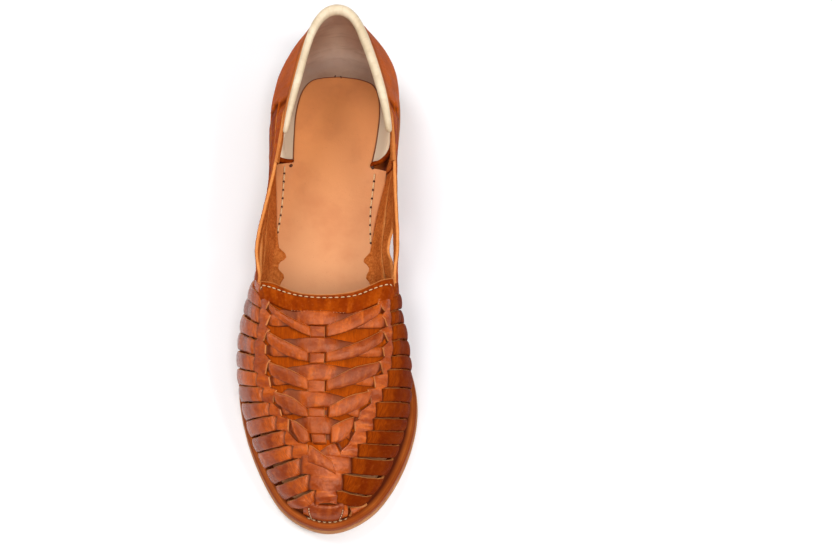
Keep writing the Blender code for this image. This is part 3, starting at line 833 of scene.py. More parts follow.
def heel_block(name, finish, slot):
    """The stacked heel: levels of one outline, the sole's edge from breast to breast and a level line across.

    A level's outline is inset and its breast moved back by the level's inset; heights run from the floor up.
    """
    height, inset, out, tread = columns(HEEL_LEVELS)
    edge = sole_edge(np.linspace(BREAST_ROW, ROUND - BREAST_ROW, 64), np.minimum(inset, HEEL_LEDGE)[:, None])
    breast = HEEL_BREAST + BREAST_BACK + inset[:, None]
    outer, inner = (np.array([np.interp(line, half[:, 1], half[:, 0]) for line, half in zip(breast, halves)])
                    for halves in (edge[:, :32], edge[:, :31:-1]))
    share = np.linspace(0.0, 1.0, 14)[1:-1]
    x = np.concatenate([edge[..., 0], between(inner, outer, share)], axis=1)
    y = np.concatenate([np.maximum(edge[..., 1], breast), breast + 0.0 * share], axis=1)
    ring = np.stack([x, y], axis=-1)
    ring = between(HEEL_MIDDLE, ring, out[:, None, None])
    flat = np.zeros_like(ring[..., :1])
    piece = Piece()
    piece.add(np.concatenate([ring, height[:, None, None] + flat], axis=-1),
              tube_faces(*ring.shape[:2], ends=False), flesh=tread[:, None] + flat[..., 0])
    return piece.make(name, finish, slot, weld=True)


# ---------------------------------------------------------------- heel: counter, lining, collar roll

COUNTER_ROW = 10.9     # the counter's front edge
LINING_ROW = 11.0      # the lining's front edge
ROLL_ROW = 11.5        # where the collar roll starts and ends
LINING_INSIDE = 2.75   # depths of the lining's two faces and of its edging under the upper's outer face
LINING_OUTSIDE = 1.6
EDGING = 2.2
SEAT = 2.3             # height of the lining's foot over the deck
EDGING_RADIUS = 1.15
LINING_RINGS = 150
ROLL_END = 1.75        # radius of the roll at its ends, along the sides and round the heel
ROLL_SIDE = 2.4
ROLL_HEEL = 2.7
ROLL_RUN = 16.0        # mm of roll to a row
STRAP_DIVE = 1.7       # how deep a strap goes into its slit

# Straps, outer side then inner: row, middle of the strap up the wall and half its width as shares of the wall
HIGH_STRAP = (
    ((12.55, 0.82, 0.12), (12.0, 0.86, 0.11), (11.2, 0.89, 0.10), (10.2, 0.90, 0.098), (9.3, 0.90, 0.098),
     (9.05, 0.91, 0.088), (8.7, 0.91, 0.088), (8.4, 0.88, 0.10), (8.0, 0.79, 0.085), (7.5, 0.67, 0.08),
     (7.0, 0.61, 0.075), (6.0, 0.60, 0.075), (5.2, 0.60, 0.07)),
    ((12.55, 0.82, 0.12), (12.0, 0.86, 0.11), (11.2, 0.865, 0.125), (10.2, 0.855, 0.14), (9.6, 0.855, 0.14),
     (9.3, 0.865, 0.13), (8.9, 0.865, 0.13), (8.7, 0.85, 0.145), (8.4, 0.84, 0.13), (8.0, 0.79, 0.085),
     (7.5, 0.67, 0.08), (7.0, 0.61, 0.075), (6.0, 0.60, 0.075), (5.2, 0.60, 0.07)),
)
MID_STRAP = (
    ((12.6, 0.57, 0.095), (12.0, 0.60, 0.105), (11.2, 0.65, 0.12), (10.2, 0.66, 0.12), (9.3, 0.66, 0.12),
     (9.05, 0.645, 0.095), (8.7, 0.64, 0.095), (8.5, 0.64, 0.12), (8.1, 0.60, 0.09), (7.5, 0.50, 0.085),
     (6.8, 0.42, 0.08), (6.2, 0.40, 0.08)),
    ((12.6, 0.57, 0.095), (12.0, 0.59, 0.11), (11.2, 0.56, 0.14), (10.2, 0.53, 0.175), (9.6, 0.53, 0.165),
     (9.3, 0.4425, 0.1075), (8.9, 0.435, 0.095), (8.65, 0.495, 0.155), (8.1, 0.49, 0.12), (7.5, 0.46, 0.08),
     (6.8, 0.42, 0.08), (6.2, 0.40, 0.08)),
)
LOW_STRAP = (
    ((12.5, 0.34, 0.125), (12.0, 0.34, 0.13), (11.2, 0.27, 0.21), (10.2, 0.245, 0.245), (8.6, 0.24, 0.24),
     (8.1, 0.215, 0.215), (7.5, 0.20, 0.15), (6.8, 0.22, 0.09), (6.2, 0.21, 0.09)),
    ((12.5, 0.33, 0.125), (12.0, 0.31, 0.13), (11.2, 0.20, 0.18), (10.2, 0.155, 0.16), (8.6, 0.155, 0.155),
     (8.1, 0.15, 0.15), (7.5, 0.20, 0.10), (6.8, 0.22, 0.09), (6.2, 0.21, 0.09)),
)
# Height of the straps' forward ends, which sink under the fingers: rows, heights
SHALLOW = ((5.2, 6.9, 7.05, 7.3, 7.5, 7.75, 8.3, 8.7), (-1.2, -1.2, -0.95, -0.95, 0.3, 0.5, 0.6, 0.6))
DEEP = ((6.2, 7.9, 8.9, 9.4), (-1.3, -1.3, -0.4, 0.5))
# A strap's tables, the row where it dives into the counter, its shade, the height of its forward end
STRAPS = ((HIGH_STRAP, 12.42, 0.2, SHALLOW), (MID_STRAP, 12.5, -0.5, DEEP), (LOW_STRAP, 12.4, 0.7, DEEP))


def facing(inner, climb):
    """The vamp's second parameter for a share of the wall: climb on the outer side, 3 - climb inside."""
    return 3.0 - climb if inner else climb


def strap(piece, inner, table, slit, tone, under):
    """A side strap along the wall: middle and half width through its table, a dive into its slit at the back
    and under the vamp's fingers in front."""
    rows, middles, halves = columns(table[::-1])

    def shape(share, side):
        row = between(rows[-1], rows[0], share)
        climb = through(row, rows, middles) + side * through(row, rows, halves)
        into_slit = smooth_step(row, slit - 0.42, slit + 0.02)
        return row, facing(inner, climb), np.interp(row, *under) - STRAP_DIVE * into_slit, 0.0

    lay_strip(piece, vamp_point, shape, thickness=STRAP_LEATHER, dome=0.12, tone=tone, steps=110, wave=0.08,
              edge_wave=0.12, pale=(0.5, 1.0), low=(0.2, -1.2))


def counter_shell(piece):
    """Outer leather of the heel, from front edge round the back to front edge: a sheet 1.2 mm thick that
    sinks 0.9 mm under each strap in front of its slit."""
    def shape(share, side):
        around = between(COUNTER_ROW, ROUND - COUNTER_ROW, share)
        climb = 0.5 + 0.52 * side
        row = row_of(around)
        sunk = 0.0 * row
        for tables, slit, _, _ in STRAPS:
            for inner, table in enumerate(tables):
                rows, middles, halves = columns(table[::-1])
                off_middle = np.abs(climb - np.interp(row, rows, middles))
                half = np.interp(row, rows, halves)
                inside = 1.0 - smooth_step(off_middle, half * 0.96, half * 1.14)
                ahead = 1.0 - smooth_step(row, slit - 0.03, slit + 0.03)
                sunk = np.maximum(sunk, inside * ahead * (around > ROWS if inner else around <= ROWS))
        crease = 0.09 * np.sin(around * 5.0 + climb * 9.0) * (1.0 - smooth_step(climb, 0.6, 0.95))
        return around, climb, 0.35 - 1.25 * sunk + crease, 0.0

    lay_strip(piece, wall_point, shape, dome=0.0, tone=0.35, steps=330, wide=61, wave=0.07, edge_wave=0.0,
              pale=(0.3, 0.6), low=(0.1, -0.9))


def lining_face(around, climb, depth):
    """Inside of the heel: the wall's face moved in by depth, then level by the seat's hollow.

    With h the height over the seat and r its radius, the hollow is r - sqrt(r^2 - (r - h)^2) for h below r.
    """
    face = raised(wall_point, around, climb, -depth)
    radius = seat_radius(around) + 1.2
    seat = deck(face[..., 1])
    short = np.clip(radius - (face[..., 2] - seat - SEAT), 0.0, radius)
    hollow = radius - np.sqrt(radius**2 - short**2)
    face[..., :2] -= outward(around) * hollow[..., None]
    face[..., 2] = np.maximum(face[..., 2], deck(face[..., 1]) + SEAT)
    return face


def lining_place(share, climb):
    """Place round the heel for a share of the lining: its front edges slope back towards their tops."""
    start = LINING_ROW + 0.25 * (1.0 - np.exp(-climb / 0.2))
    stop = ROUND - LINING_ROW - 0.95 * (1.0 - np.exp(-climb / 0.25))
    return between(start, stop, share)


def lining_top(around):
    """How far up the wall the lining reaches: to the top under the roll, a little lower in front of it."""
    return 0.90 + 0.10 * smooth_step(row_of(around), ROLL_ROW - 0.05, ROLL_ROW + 0.15)


def lining(piece, beads):
    """The lining: a thin closed sheet round the heel between its inner and outer faces, and dark leather
    edging down its two front edges, darkened further with painted shade."""
    climb = np.linspace(0.0, 1.0, 72)**1.7
    share, t = np.meshgrid(np.linspace(0.0, 1.0, LINING_RINGS), np.append(climb, climb[::-1]), indexing="ij")
    inside = np.repeat([1.0, 0.0], len(climb)) + 0.0 * t
    u = lining_place(share, t)
    depth = between(LINING_OUTSIDE, LINING_INSIDE, inside) + inside * 0.10 * ripple(u * 14.0, t * 9.0, 1.0)
    # Darker at the foot of the inside face, where it turns into the seat.
    darker_foot = inside * 0.6 * (1.0 - smooth_step(t, 0.05, 0.12))
    points = lining_face(u, t * lining_top(u), depth)
    piece.add(points, tube_faces(*u.shape), raw=darker_foot, run=u * 12.0, side=t)
    for share in (0.0, 1.0):
        place = lining_place(share, climb)
        edge = lining_face(place, climb * lining_top(place), np.full(climb.shape, EDGING))
        # deep 0.6: painted shade on the edging
        bead(beads, edge, EDGING_RADIUS, 10, deep=0.6)


def collar_roll(name, finish, slot):
    """The padded roll along the counter's top: a tube round the frame's roll line, thinning to its two ends,
    slightly flattened and gathered: radius * (1 + 0.015 * ripple)."""
    share = np.linspace(-1.0, 1.0, 241)
    around = ROWS + (ROWS - ROLL_ROW) * np.sign(share) * (1.0 - (1.0 - np.abs(share))**1.25)
    _, top, _, reach, out = wall_ends(around)
    turn = station(around)[:, 7:8]
    face = np.concatenate([out * np.cos(turn), np.sin(turn)], axis=1)
    from_end = row_of(around) - ROLL_ROW
    at_heel = smooth_step(from_end, 1.8, 4.0)
    radius = between(ROLL_END, ROLL_SIDE, smooth_step(from_end, 0.0, 1.3)) + (ROLL_HEEL - ROLL_SIDE) * at_heel
    radius = radius * (1.0 + (0.1 * np.sign(share) - 0.12) * (1.0 - at_heel))
    centre = top - face * (2.0 - 0.9 * at_heel)[:, None] + reach * (radius + 0.2 + 0.7 * at_heel)[:, None]
    radius = radius * np.sqrt(np.clip(1.0 - (1.0 - np.clip(from_end / 0.11, 0.0, 1.0))**2, 0.02, 1.0))
    angle = round_angles(20)
    flat = 0.0 * around[:, None] + 0.0 * angle
    size = radius[:, None] * (1.0 + 0.015 * ripple(around[:, None] * ROLL_RUN, angle, 3.0))
    piece = Piece()
    piece.add(centre[:, None] + round_line(face, reach * 1.04, angle) * size[..., None],
              tube_faces(*flat.shape), run=around[:, None] * ROLL_RUN + flat, side=np.sin(angle) + flat,
              dip=0.4 * (1.0 - smooth_step(from_end, 0.0, 0.35))[:, None] + flat)
    item = piece.make(name, finish, slot)
    return item


# ---------------------------------------------------------------- vamp

# Cuts between the fingers, from the throat to the toe: row at the frame leather, row at the sole, half of the
# opening in mm. Then where each finger dives under the frame leather, as a share of the wall.
OUTER_CUTS = (
    (7.74, 8.90, 0.2), (7.30, 8.20, 0.25), (6.80, 7.35, 0.2), (6.25, 6.85, 0.4), (5.80, 6.30, 0.3),
    (5.38, 5.80, 0.4), (4.98, 5.35, 0.5), (4.63, 4.90, 0.4), (4.28, 4.45, 0.5), (3.97, 3.95, 0.25),
    (3.62, 3.50, 0.5), (3.26, 3.10, 0.3), (2.91, 2.62, 0.6), (2.42, 2.15, 0.7), (1.80, 1.55, 0.75),
    (0.90, 1.18, 0.3),
)
INNER_CUTS = (
    (7.75, 8.70, 0.2), (7.30, 7.90, 0.2), (6.75, 7.30, 0.2), (6.30, 6.80, 0.3), (5.85, 6.30, 0.2),
    (5.45, 5.85, 0.3), (5.12, 5.50, 0.3), (4.69, 5.04, 0.3), (4.37, 4.67, 0.2), (4.00, 4.28, 0.25),
    (3.70, 3.95, 0.2), (3.36, 3.58, 0.3), (2.98, 3.20, 0.6), (2.46, 2.66, 0.7), (1.79, 1.94, 0.4),
    (0.91, 1.43, 0.4),
)
OUTER_ENDS = (0.95, 0.93, 0.90, 0.88, 0.83, 0.80, 0.81, 0.85, 0.895, 0.93, 0.975, 0.995, 1.02, 1.04, 1.03)
INNER_ENDS = (0.95, 0.93, 0.90, 0.88, 0.86, 0.85, 0.85, 0.86, 0.885, 0.86, 0.91, 0.985, 1.01, 1.07, 1.15)
UNDER_WARP = (0, 2, 4)           # these fingers pass under the high strap's forward end
OVER_WARP = (1, 3)               # and these over it
WARP_CLIMB = 0.61

# Inner edge of the frame leather, slots included: row, place past the wall's foot (1 is the wall's top)
OUTER_SLOTS = (
    (7.6, 1.07), (7.4, 1.05), (7.18, 1.03), (6.86, 1.0), (6.70, 1.045), (6.26, 1.0), (6.16, 1.035),
    (5.76, 0.96), (5.68, 1.0), (5.42, 0.985), (5.28, 1.03), (4.92, 0.95), (4.86, 1.0), (4.60, 0.99),
    (4.55, 1.05), (4.25, 0.975), (4.10, 1.04), (3.93, 1.03), (3.87, 1.11), (3.58, 1.05), (3.40, 1.10),
    (3.30, 1.14), (3.25, 1.255), (2.80, 1.25),
)
INNER_SLOTS = (
    (7.6, 1.08), (7.24, 1.07), (6.82, 1.0), (6.70, 1.03), (6.28, 0.95), (6.22, 1.04), (5.84, 0.93),
    (5.68, 1.01), (5.42, 0.96), (5.31, 1.02), (5.0, 0.93), (4.93, 1.04), (4.66, 0.99), (4.62, 1.06),
    (4.32, 0.98), (4.12, 1.07), (3.92, 1.07), (3.86, 1.11), (3.64, 1.08), (3.30, 1.14), (3.10, 1.24),
    (2.80, 1.24),
)

# Strips over the top: place in from the wall's top, upper row, lower row
OUTER_OVER = (
    ((-0.06, 7.31, 7.02), (0.02, 7.17, 6.87), (0.20, 6.82, 6.39), (0.38, 6.46, 6.05), (0.44, 6.36, 5.98)),
    ((-0.06, 6.27, 5.92), (0.00, 6.13, 5.77), (0.20, 5.81, 5.38), (0.36, 5.57, 5.25), (0.43, 5.50, 5.20)),
    ((-0.06, 5.34, 5.02), (0.00, 5.25, 4.92), (0.20, 5.04, 4.66), (0.36, 4.82, 4.53), (0.43, 4.75, 4.47)),
    ((-0.06, 4.62, 4.34), (0.00, 4.54, 4.25), (0.20, 4.36, 3.95), (0.34, 4.10, 3.89), (0.42, 4.04, 3.86)),
    ((0.05, 3.93, 3.66), (0.11, 3.86, 3.58), (0.17, 3.82, 3.33), (0.31, 3.59, 3.30), (0.40, 3.52, 3.28)),
)
INNER_OVER = (
    ((-0.05, 7.36, 6.96), (0.03, 7.24, 6.82), (0.20, 7.08, 6.44), (0.47, 6.53, 6.04), (0.56, 6.40, 5.98)),
    ((-0.07, 6.32, 5.96), (0.00, 6.22, 5.84), (0.20, 5.90, 5.45), (0.47, 5.55, 5.25), (0.56, 5.50, 5.21)),
    ((-0.07, 5.38, 5.08), (0.00, 5.31, 5.00), (0.20, 5.16, 4.71), (0.45, 4.78, 4.52), (0.54, 4.72, 4.47)),
    ((-0.06, 4.70, 4.40), (0.00, 4.62, 4.32), (0.20, 4.46, 4.02), (0.41, 4.17, 3.88), (0.50, 4.08, 3.86)),
    ((0.05, 4.05, 3.72), (0.11, 3.98, 3.64), (0.20, 3.90, 3.40), (0.38, 3.68, 3.28), (0.47, 3.52, 3.27)),
)
# Strips that pass under those on both sides and over the middle warp: place across, upper row, lower row
LENSES = (
    ((0.97, 6.68, 6.24), (1.07, 6.86, 6.30), (1.16, 7.19, 6.37), (1.26, 7.25, 6.45), (1.445, 7.23, 6.50),
     (1.64, 7.23, 6.49), (1.79, 7.20, 6.36), (1.89, 6.98, 6.32), (1.99, 6.75, 6.26), (2.06, 6.66, 6.26)),
    ((0.97, 5.65, 5.38), (1.08, 5.80, 5.37), (1.15, 5.92, 5.37), (1.26, 5.97, 5.42), (1.445, 6.03, 5.51),
     (1.60, 5.98, 5.50), (1.72, 5.90, 5.45), (1.84, 5.78, 5.42), (1.97, 5.70, 5.41), (2.06, 5.66, 5.40)),
    ((0.97, 4.84, 4.62), (1.08, 4.96, 4.65), (1.18, 5.10, 4.67), (1.27, 5.14, 4.70), (1.445, 5.20, 4.76),
     (1.60, 5.17, 4.76), (1.74, 5.12, 4.73), (1.86, 5.01, 4.69), (1.98, 4.91, 4.68), (2.04, 4.87, 4.68)),
    ((1.00, 4.12, 3.94), (1.07, 4.40, 3.95), (1.14, 4.56, 3.96), (1.26, 4.54, 4.04), (1.445, 4.50, 4.12),
     (1.60, 4.47, 4.12), (1.74, 4.40, 4.05), (1.84, 4.33, 3.97), (1.92, 4.18, 3.95), (1.99, 4.10, 3.94)),
    ((1.05, 3.74, 3.46), (1.20, 3.86, 3.50), (1.445, 3.93, 3.48), (1.65, 3.88, 3.48), (1.82, 3.76, 3.44),
     (1.92, 3.60, 3.34)),
)
MIDDLE = 1.445
MIDDLE_HALF = (
    (7.4, 0.060), (6.2, 0.062), (5.3, 0.065), (4.6, 0.085), (4.0, 0.093), (3.4, 0.10), (3.0, 0.10),
)
MIDDLE_SHOWN = ((6.46, 6.03), (5.50, 5.22), (4.77, 4.49), (4.10, 3.91), (3.48, 3.28))

BAND_TOP = (
    (0.80, 7.38), (0.87, 7.55), (0.93, 7.74), (0.98, 7.92), (1.03, 8.06), (1.10, 8.19), (1.17, 8.17),
    (1.25, 8.11), (1.35, 8.07), (1.50, 8.05), (1.65, 8.07), (1.78, 8.12), (1.86, 8.18), (1.92, 8.18),
    (1.98, 8.06), (2.04, 7.90), (2.10, 7.70), (2.18, 7.45),
)
BAND_FOOT = (
    (0.80, 7.20), (0.93, 7.14), (1.03, 7.18), (1.21, 7.09), (1.445, 7.15), (1.71, 7.03), (1.95, 7.22),
    (2.07, 7.14), (2.18, 7.20),
)
STITCH_LINE = (
    (0.95, 7.62), (0.99, 7.79), (1.05, 7.92), (1.12, 7.99), (1.22, 7.98), (1.32, 7.95), (1.46, 7.90),
    (1.60, 7.89), (1.74, 7.90), (1.85, 7.97), (1.92, 7.95), (1.98, 7.84), (2.04, 7.69),
)

# The last crossing's two strips: place across, upper row, lower row
CROSSING_UNDER = (
    (1.44, 3.08, 2.86), (1.50, 3.13, 2.88), (1.61, 3.22, 2.91), (1.74, 3.29, 2.93), (1.80, 3.31, 2.94),
)
CROSSING_OVER = (
    (1.16, 3.24, 2.84), (1.26, 3.21, 2.75), (1.35, 3.12, 2.67), (1.50, 2.97, 2.55), (1.65, 2.84, 2.41),
    (1.70, 2.80, 2.37),
)

CUTS = (OUTER_CUTS, INNER_CUTS)
ENDS = (OUTER_ENDS, INNER_ENDS)
SLOTS = (OUTER_SLOTS, INNER_SLOTS)
OVERS = (*zip(OUTER_OVER, INNER_OVER),)
GROUND_INS = np.array([-0.05, 0.06, 0.16, 0.27, 0.37])     # places in from the wall's top
FRAME_ROWS = (7.5, 2.84)         # the frame leather, from the throat to the toe piece
TOE_ROWS = (3.04, 0.42)          # the toe piece, from the last crossing to the tip
TIP = 0.07                       # middle of the toe's plate, in rows round the tip


def row_length(row, over):
    """Length in mm of one row along the shoe at a place on the vamp."""
    return length(vamp_point(row + 0.1, over) - vamp_point(row - 0.1, over))[..., 0] / 0.2


def upright(inner, row, climb):
    """How much the place up the wall changes per row along a line that runs straight fore and aft."""
    def side_place(more, higher):
        return vamp_point(row + more, facing(inner, climb + higher))[..., 0]

    return (side_place(-0.05, 0.0) - side_place(0.05, 0.0)) / (side_place(0.0, 0.05) - side_place(0.0, -0.05))


def treads(inner, lines, levels):
    """A staircase as rising rows and their places up the wall: level k lies between line k and line k + 1,
    and each tread runs straight fore and aft."""
    rows, places = [], []
    for high, low, level in zip(lines, lines[1:], levels):
        lean = upright(inner, (high + low) / 2.0, level) * (high - low) / 2.0
        rows += [high - 0.03, low + 0.03]
        places += [level + lean, level - lean]
    return rows[::-1], places[::-1]


def finger(piece, inner, number):
    """One finger of the vamp: a patch between two cuts, from the sole's seam to under the frame leather."""
    (top_high, foot_high, open_high), (top_low, foot_low, open_low) = CUTS[inner][number:number + 2]
    end = ENDS[inner][number]
    top_row = (top_high + top_low) / 2.0
    middle_row = (top_high + top_low + foot_high + foot_low) / 4.0
    tall = distance_along(vamp_point(middle_row, facing(inner, np.linspace(0.0, 1.0, 9))))[-1]
    lean = upright(inner, top_row, end)
    reach = end + np.abs(lean) * (top_high - top_low) / 2.0 + 3.2 / tall
    at_warp = -1.2 if number in UNDER_WARP else 0.35 if number in OVER_WARP else 0.0

    def shape(share, side):
        climb = between(-0.035, reach, share)
        t = climb / end
        mm = row_length(middle_row, facing(inner, np.clip(climb, 0.05, 1.2)))
        opening = (0.35 + 0.65 * np.sin(np.pi * np.clip(0.12 + 0.88 * t, 0.0, 1.0))) / mm
        row = across(between(foot_high, top_high, t) - open_high * opening,
                     between(foot_low, top_low, t) + open_low * opening, side)
        to_end = (end + lean * (row - top_row) - climb) * tall
        dive = smooth_step(-to_end, -2.3, -0.1)
        near_warp = np.exp(-((climb - WARP_CLIMB) * tall / 5.0)**2)
        swell = 0.35 * np.exp(-((to_end - 8.0) / 3.5)**2)
        # The foot sinks into the sole's seam, and through low it takes painted shade, deeper and higher up on
        # the inner side.
        foot = (0.5 + 0.6 * inner) * (1.0 - smooth_step(climb * tall, 0.0, 2.5 + 5.0 * inner))
        height = 0.45 - 1.5 * dive + at_warp * near_warp + swell - foot - 0.15 * np.abs(side)**3
        drawn = smooth_step(-to_end - 0.5 * np.sin(side * 5.0 + number), -6.6, -5.2)
        return row, facing(inner, climb), height, drawn

    # Each finger's own tone, set darker on the inner side as painted shade.
    tone = 0.5 * np.sin(number * 2.4 + 1.3 * inner) - (1.15 if inner else 0.55)
    lay_strip(piece, vamp_point, shape, dome=0.45, tone=tone, steps=64, wave=0.08, edge_wave=0.14,
              pale=(0.12, 0.75), low=(-0.35, -1.0))


def frame_leather(piece, inner):
    """The leather that runs along the top of the wall from the throat: its outer edge steps from finger to
    finger and its inner edge is a saw of slots; it swells over each finger and sinks at each cut."""
    cut_rows = [cut[0] for cut in CUTS[inner]]
    slot_rows, slot_places = columns(SLOTS[inner][::-1])
    edge = treads(inner, cut_rows, ENDS[inner])

    def shape(share, side):
        row = between(*FRAME_ROWS, share)
        climb = across(np.interp(row, slot_rows, slot_places), np.interp(row, *edge), side)
        swell = -np.cos(2.0 * np.pi * np.interp(row, cut_rows[::-1], np.arange(len(cut_rows))[::-1]))
        lifted = 0.25 * smooth_step(side, 0.5, 1.0) + 0.1 * smooth_step(-side, 0.6, 1.0)
        ends_low = 0.5 * smooth_step(share, 0.975, 1.0) + 0.4 * (1.0 - smooth_step(share, 0.0, 0.03))
        return row, facing(inner, climb), 0.35 + swell * (0.22 - 0.1 * side) + lifted - ends_low, 0.0

    steps = 330
    row = between(*FRAME_ROWS, np.linspace(0.0, 1.0, steps + 1))
    long_cut = np.gradient(np.interp(row, slot_rows, slot_places), row) > 0.0
    lay_strip(piece, vamp_point, shape, dome=0.12, tone=0.25, steps=steps, wide=13, wave=0.08, edge_wave=0.04,
              pale=(0.05, np.where(long_cut, 0.9, 0.05)[:, None]), low=(-0.3, -0.9))


def over_strip(piece, inner, number):
    """A strip out of its slot in the frame leather, over the strip below it and under the middle warp."""
    places, highs, lows = columns(OVERS[number][inner])
    slot, warp = places[1], places[-2]

    def shape(share, side):
        place = between(places[0], places[-1], share)
        row = across(through(place, places, highs), through(place, places, lows), side)
        out = smooth_step(place, slot - 0.02, slot + 0.035)
        away = smooth_step(place, warp - 0.008, warp + 0.03)
        swell = 0.3 * np.sin(np.pi * np.clip((place - slot) / (warp - slot), 0.0, 1.0))
        drawn = 0.6 * smooth_step(place, warp - 0.12, warp - 0.02)
        drawn = drawn + 0.6 * (1.0 - smooth_step(place, slot + 0.02, slot + 0.09))
        return row, facing(inner, 1.0 + place), -1.15 + 1.95 * out - 1.9 * away + swell, drawn

    lay_strip(piece, vamp_point, shape, dome=0.6, tone=np.sin(number * 1.7 + 2.0 * inner), steps=90, wide=11,
              wave=0.08, pale=(0.1, 0.9), low=(0.55, -0.5))


def ground_strip(piece, above, below, middle, number):
    """The strip under a lens: a patch that fills the place between the over strips above and below it.

    above and below are pairs of tables, outer and inner side, or a plain row where the band or toe lies.
    """
    def rows(tables, column, shift, centre):
        if not isinstance(tables, tuple):
            return np.full(2 * len(GROUND_INS) + 1, tables)
        sides = [columns(table) for table in tables]
        outer, inner = (through(GROUND_INS, table[0], table[column]) + shift for table in sides)
        return np.concatenate([outer, [centre], inner[::-1]])

    places = np.concatenate([1.0 + GROUND_INS, [MIDDLE], 2.0 - GROUND_INS[::-1]])
    highs = rows(above, 2, 0.16, middle[0])
    lows = rows(below, 1, -0.16, middle[1])

    def shape(share, side):
        over = between(places[0], places[-1], share)
        row = across(np.interp(over, places, highs), np.interp(over, places, lows), side)
        return row, over, -0.75 - 0.35 * smooth_step(np.abs(over - MIDDLE), 0.10, 0.30), 0.7

    tone = 0.3 + 0.4 * np.sin(number * 1.9 - 0.5)
    lay_strip(piece, vamp_point, shape, thickness=GROUND_LEATHER, dome=0.15, tone=tone, steps=80, wide=11,
              wave=0.12, low=(-0.7, -1.9))


def lens_strip(piece, number):
    """A strip from slot to slot: under the over strips at its ends and over the middle warp at its middle."""
    places, highs, lows = columns(LENSES[number])

    def shape(share, side):
        over = between(places[0], places[-1], share)
        row = across(through(over, places, highs), through(over, places, lows), side)
        far = np.abs(over - MIDDLE)
        slot = 1.0 - smooth_step(np.minimum(share, 1.0 - share), 0.03, 0.085)
        height = 0.55 - 1.25 * smooth_step(far, 0.07, 0.22) + 0.75 * smooth_step(far, 0.26, 0.38) - 1.2 * slot
        return row, over, height, 0.5 * smooth_step(far, 0.12, 0.3)

    tone = np.sin(number * 2.9 + 0.6)
    lay_strip(piece, vamp_point, shape, thickness=SKIVED_LEATHER, dome=0.7, tone=tone, steps=90, wide=11,
              wave=0.08, pale=(0.1, 0.35), low=(0.1, -0.9))


def middle_warp(piece):
    """The warp down the middle: a square of it shows over each pair of over strips, and lenses cover it."""
    rows, halves = columns(MIDDLE_HALF[::-1])

    def shape(share, side):
        row = between(rows[-1], rows[0], share)
        shown = 0.0 * row
        for high, low in MIDDLE_SHOWN:
            half = (high - low) / 2.0
            off_middle = np.abs(row - (high + low) / 2.0)
            shown = np.maximum(shown, 1.0 - smooth_step(off_middle, half - 0.02, half + 0.07))
        return row, MIDDLE + side * np.interp(row, rows, halves), -1.1 + 2.0 * shown, 0.0

    lay_strip(piece, vamp_point, shape, dome=0.35, tone=-0.1, steps=260, wave=0.04, pale=(0.9, 0.9),
              low=(0.3, -0.6))


def crossing(piece, table, lift, start, rise, stop, sink, tone):
    """A short strip of the last crossing before the toe: it starts at lift, rises over the first band of
    shares and sinks over the last."""
    places, highs, lows = columns(table)

    def shape(share, side):
        over = between(places[0], places[-1], share)
        high, low = through(over, places, highs), through(over, places, lows)
        height = lift + rise * smooth_step(share, *start) - sink * smooth_step(share, *stop)
        return across(high, low, side), over + 1.1 * (MIDDLE - over) * side * (high - low) / 2.0, height, 0.0

    lay_strip(piece, vamp_point, shape, dome=0.5, tone=tone, steps=50, wide=11, low=(0.2, -0.6))


def toe_piece(piece):
    """The wide end of the middle: its edges step in past the last fingers, and its end turns steeply down."""
    left_edge = treads(False, (2.91, 2.42, 1.80, 0.42), (1.02, 1.04, 0.925))
    right_edge = treads(True, (2.98, 2.46, 1.79, 0.42), (1.01, 1.07, 0.995))

    def shape(share, side):
        row = between(*TOE_ROWS, share)
        over = across(3.0 - np.interp(row, *right_edge), np.interp(row, *left_edge), side)
        swell = 0.3 * np.cos(2.0 * np.pi * (row - 2.12) / 0.62) * smooth_step(np.abs(over - 1.47), 0.12, 0.42)
        swell = swell + 0.3 * np.exp(-((row - 1.5) / 0.22)**2)
        ends = 0.9 * smooth_step(row, 2.92, 3.04) + 1.5 * smooth_step(-row, -0.86, -0.5)
        return row, over, 0.45 + swell - ends, 0.6 * smooth_step(-row, -0.98, -0.84)

    # tone 0.7 leaves the toe piece's leather paler, which also stands in for the highlight on it: a painted
    # highlight.
    lay_strip(piece, vamp_point, shape, dome=0.1, tone=0.7, steps=140, wide=31, wave=0.14, edge_wave=0.03,
              pale=(0.1, 0.1), low=(0.3, -0.6))


def plate_side(climb):
    """Half the width of the toe's plate at a place up the wall, in rows: wider as it rises."""
    return 0.50 + 0.20 * climb + 0.83 * climb**2.3


def toe_plate(piece, wider, foot, top, lift, tone):
    """A patch of the wall round the tip, from foot to top, its upper edge arched up in the middle."""
    def shape(share, side):
        climb = across(top, foot, side)
        along = 2.0 * share - 1.0
        arch = 0.06 * (1.0 - along**2) * (1.0 + side) / 2.0
        height = lift - 1.2 * smooth_step(side, 0.78, 1.0) - 0.3 * smooth_step(-side, 0.85, 1.0)
        return TIP + along * (plate_side(np.clip(climb, 0.0, 1.0)) + wider), climb + arch, height, 0.0

    lay_strip(piece, wall_point, shape, dome=0.1, tone=tone, wide=15, wave=0.08, pale=(0.3, 0.3),
              low=(-0.3, -1.0))


def toe_flap(piece):
    """The small pointed flap beside the toe's plate: it narrows as it climbs the wall."""
    def shape(share, side):
        climb = 0.60 * share - 0.02
        return ROUND - 1.07 - 0.07 * climb - side * (0.36 - 0.60 * climb), climb, 0.75 - 0.5 * share, 0.0

    lay_strip(piece, wall_point, shape, dome=0.1, tone=0.2, steps=24, pale=(1.0, 1.0))


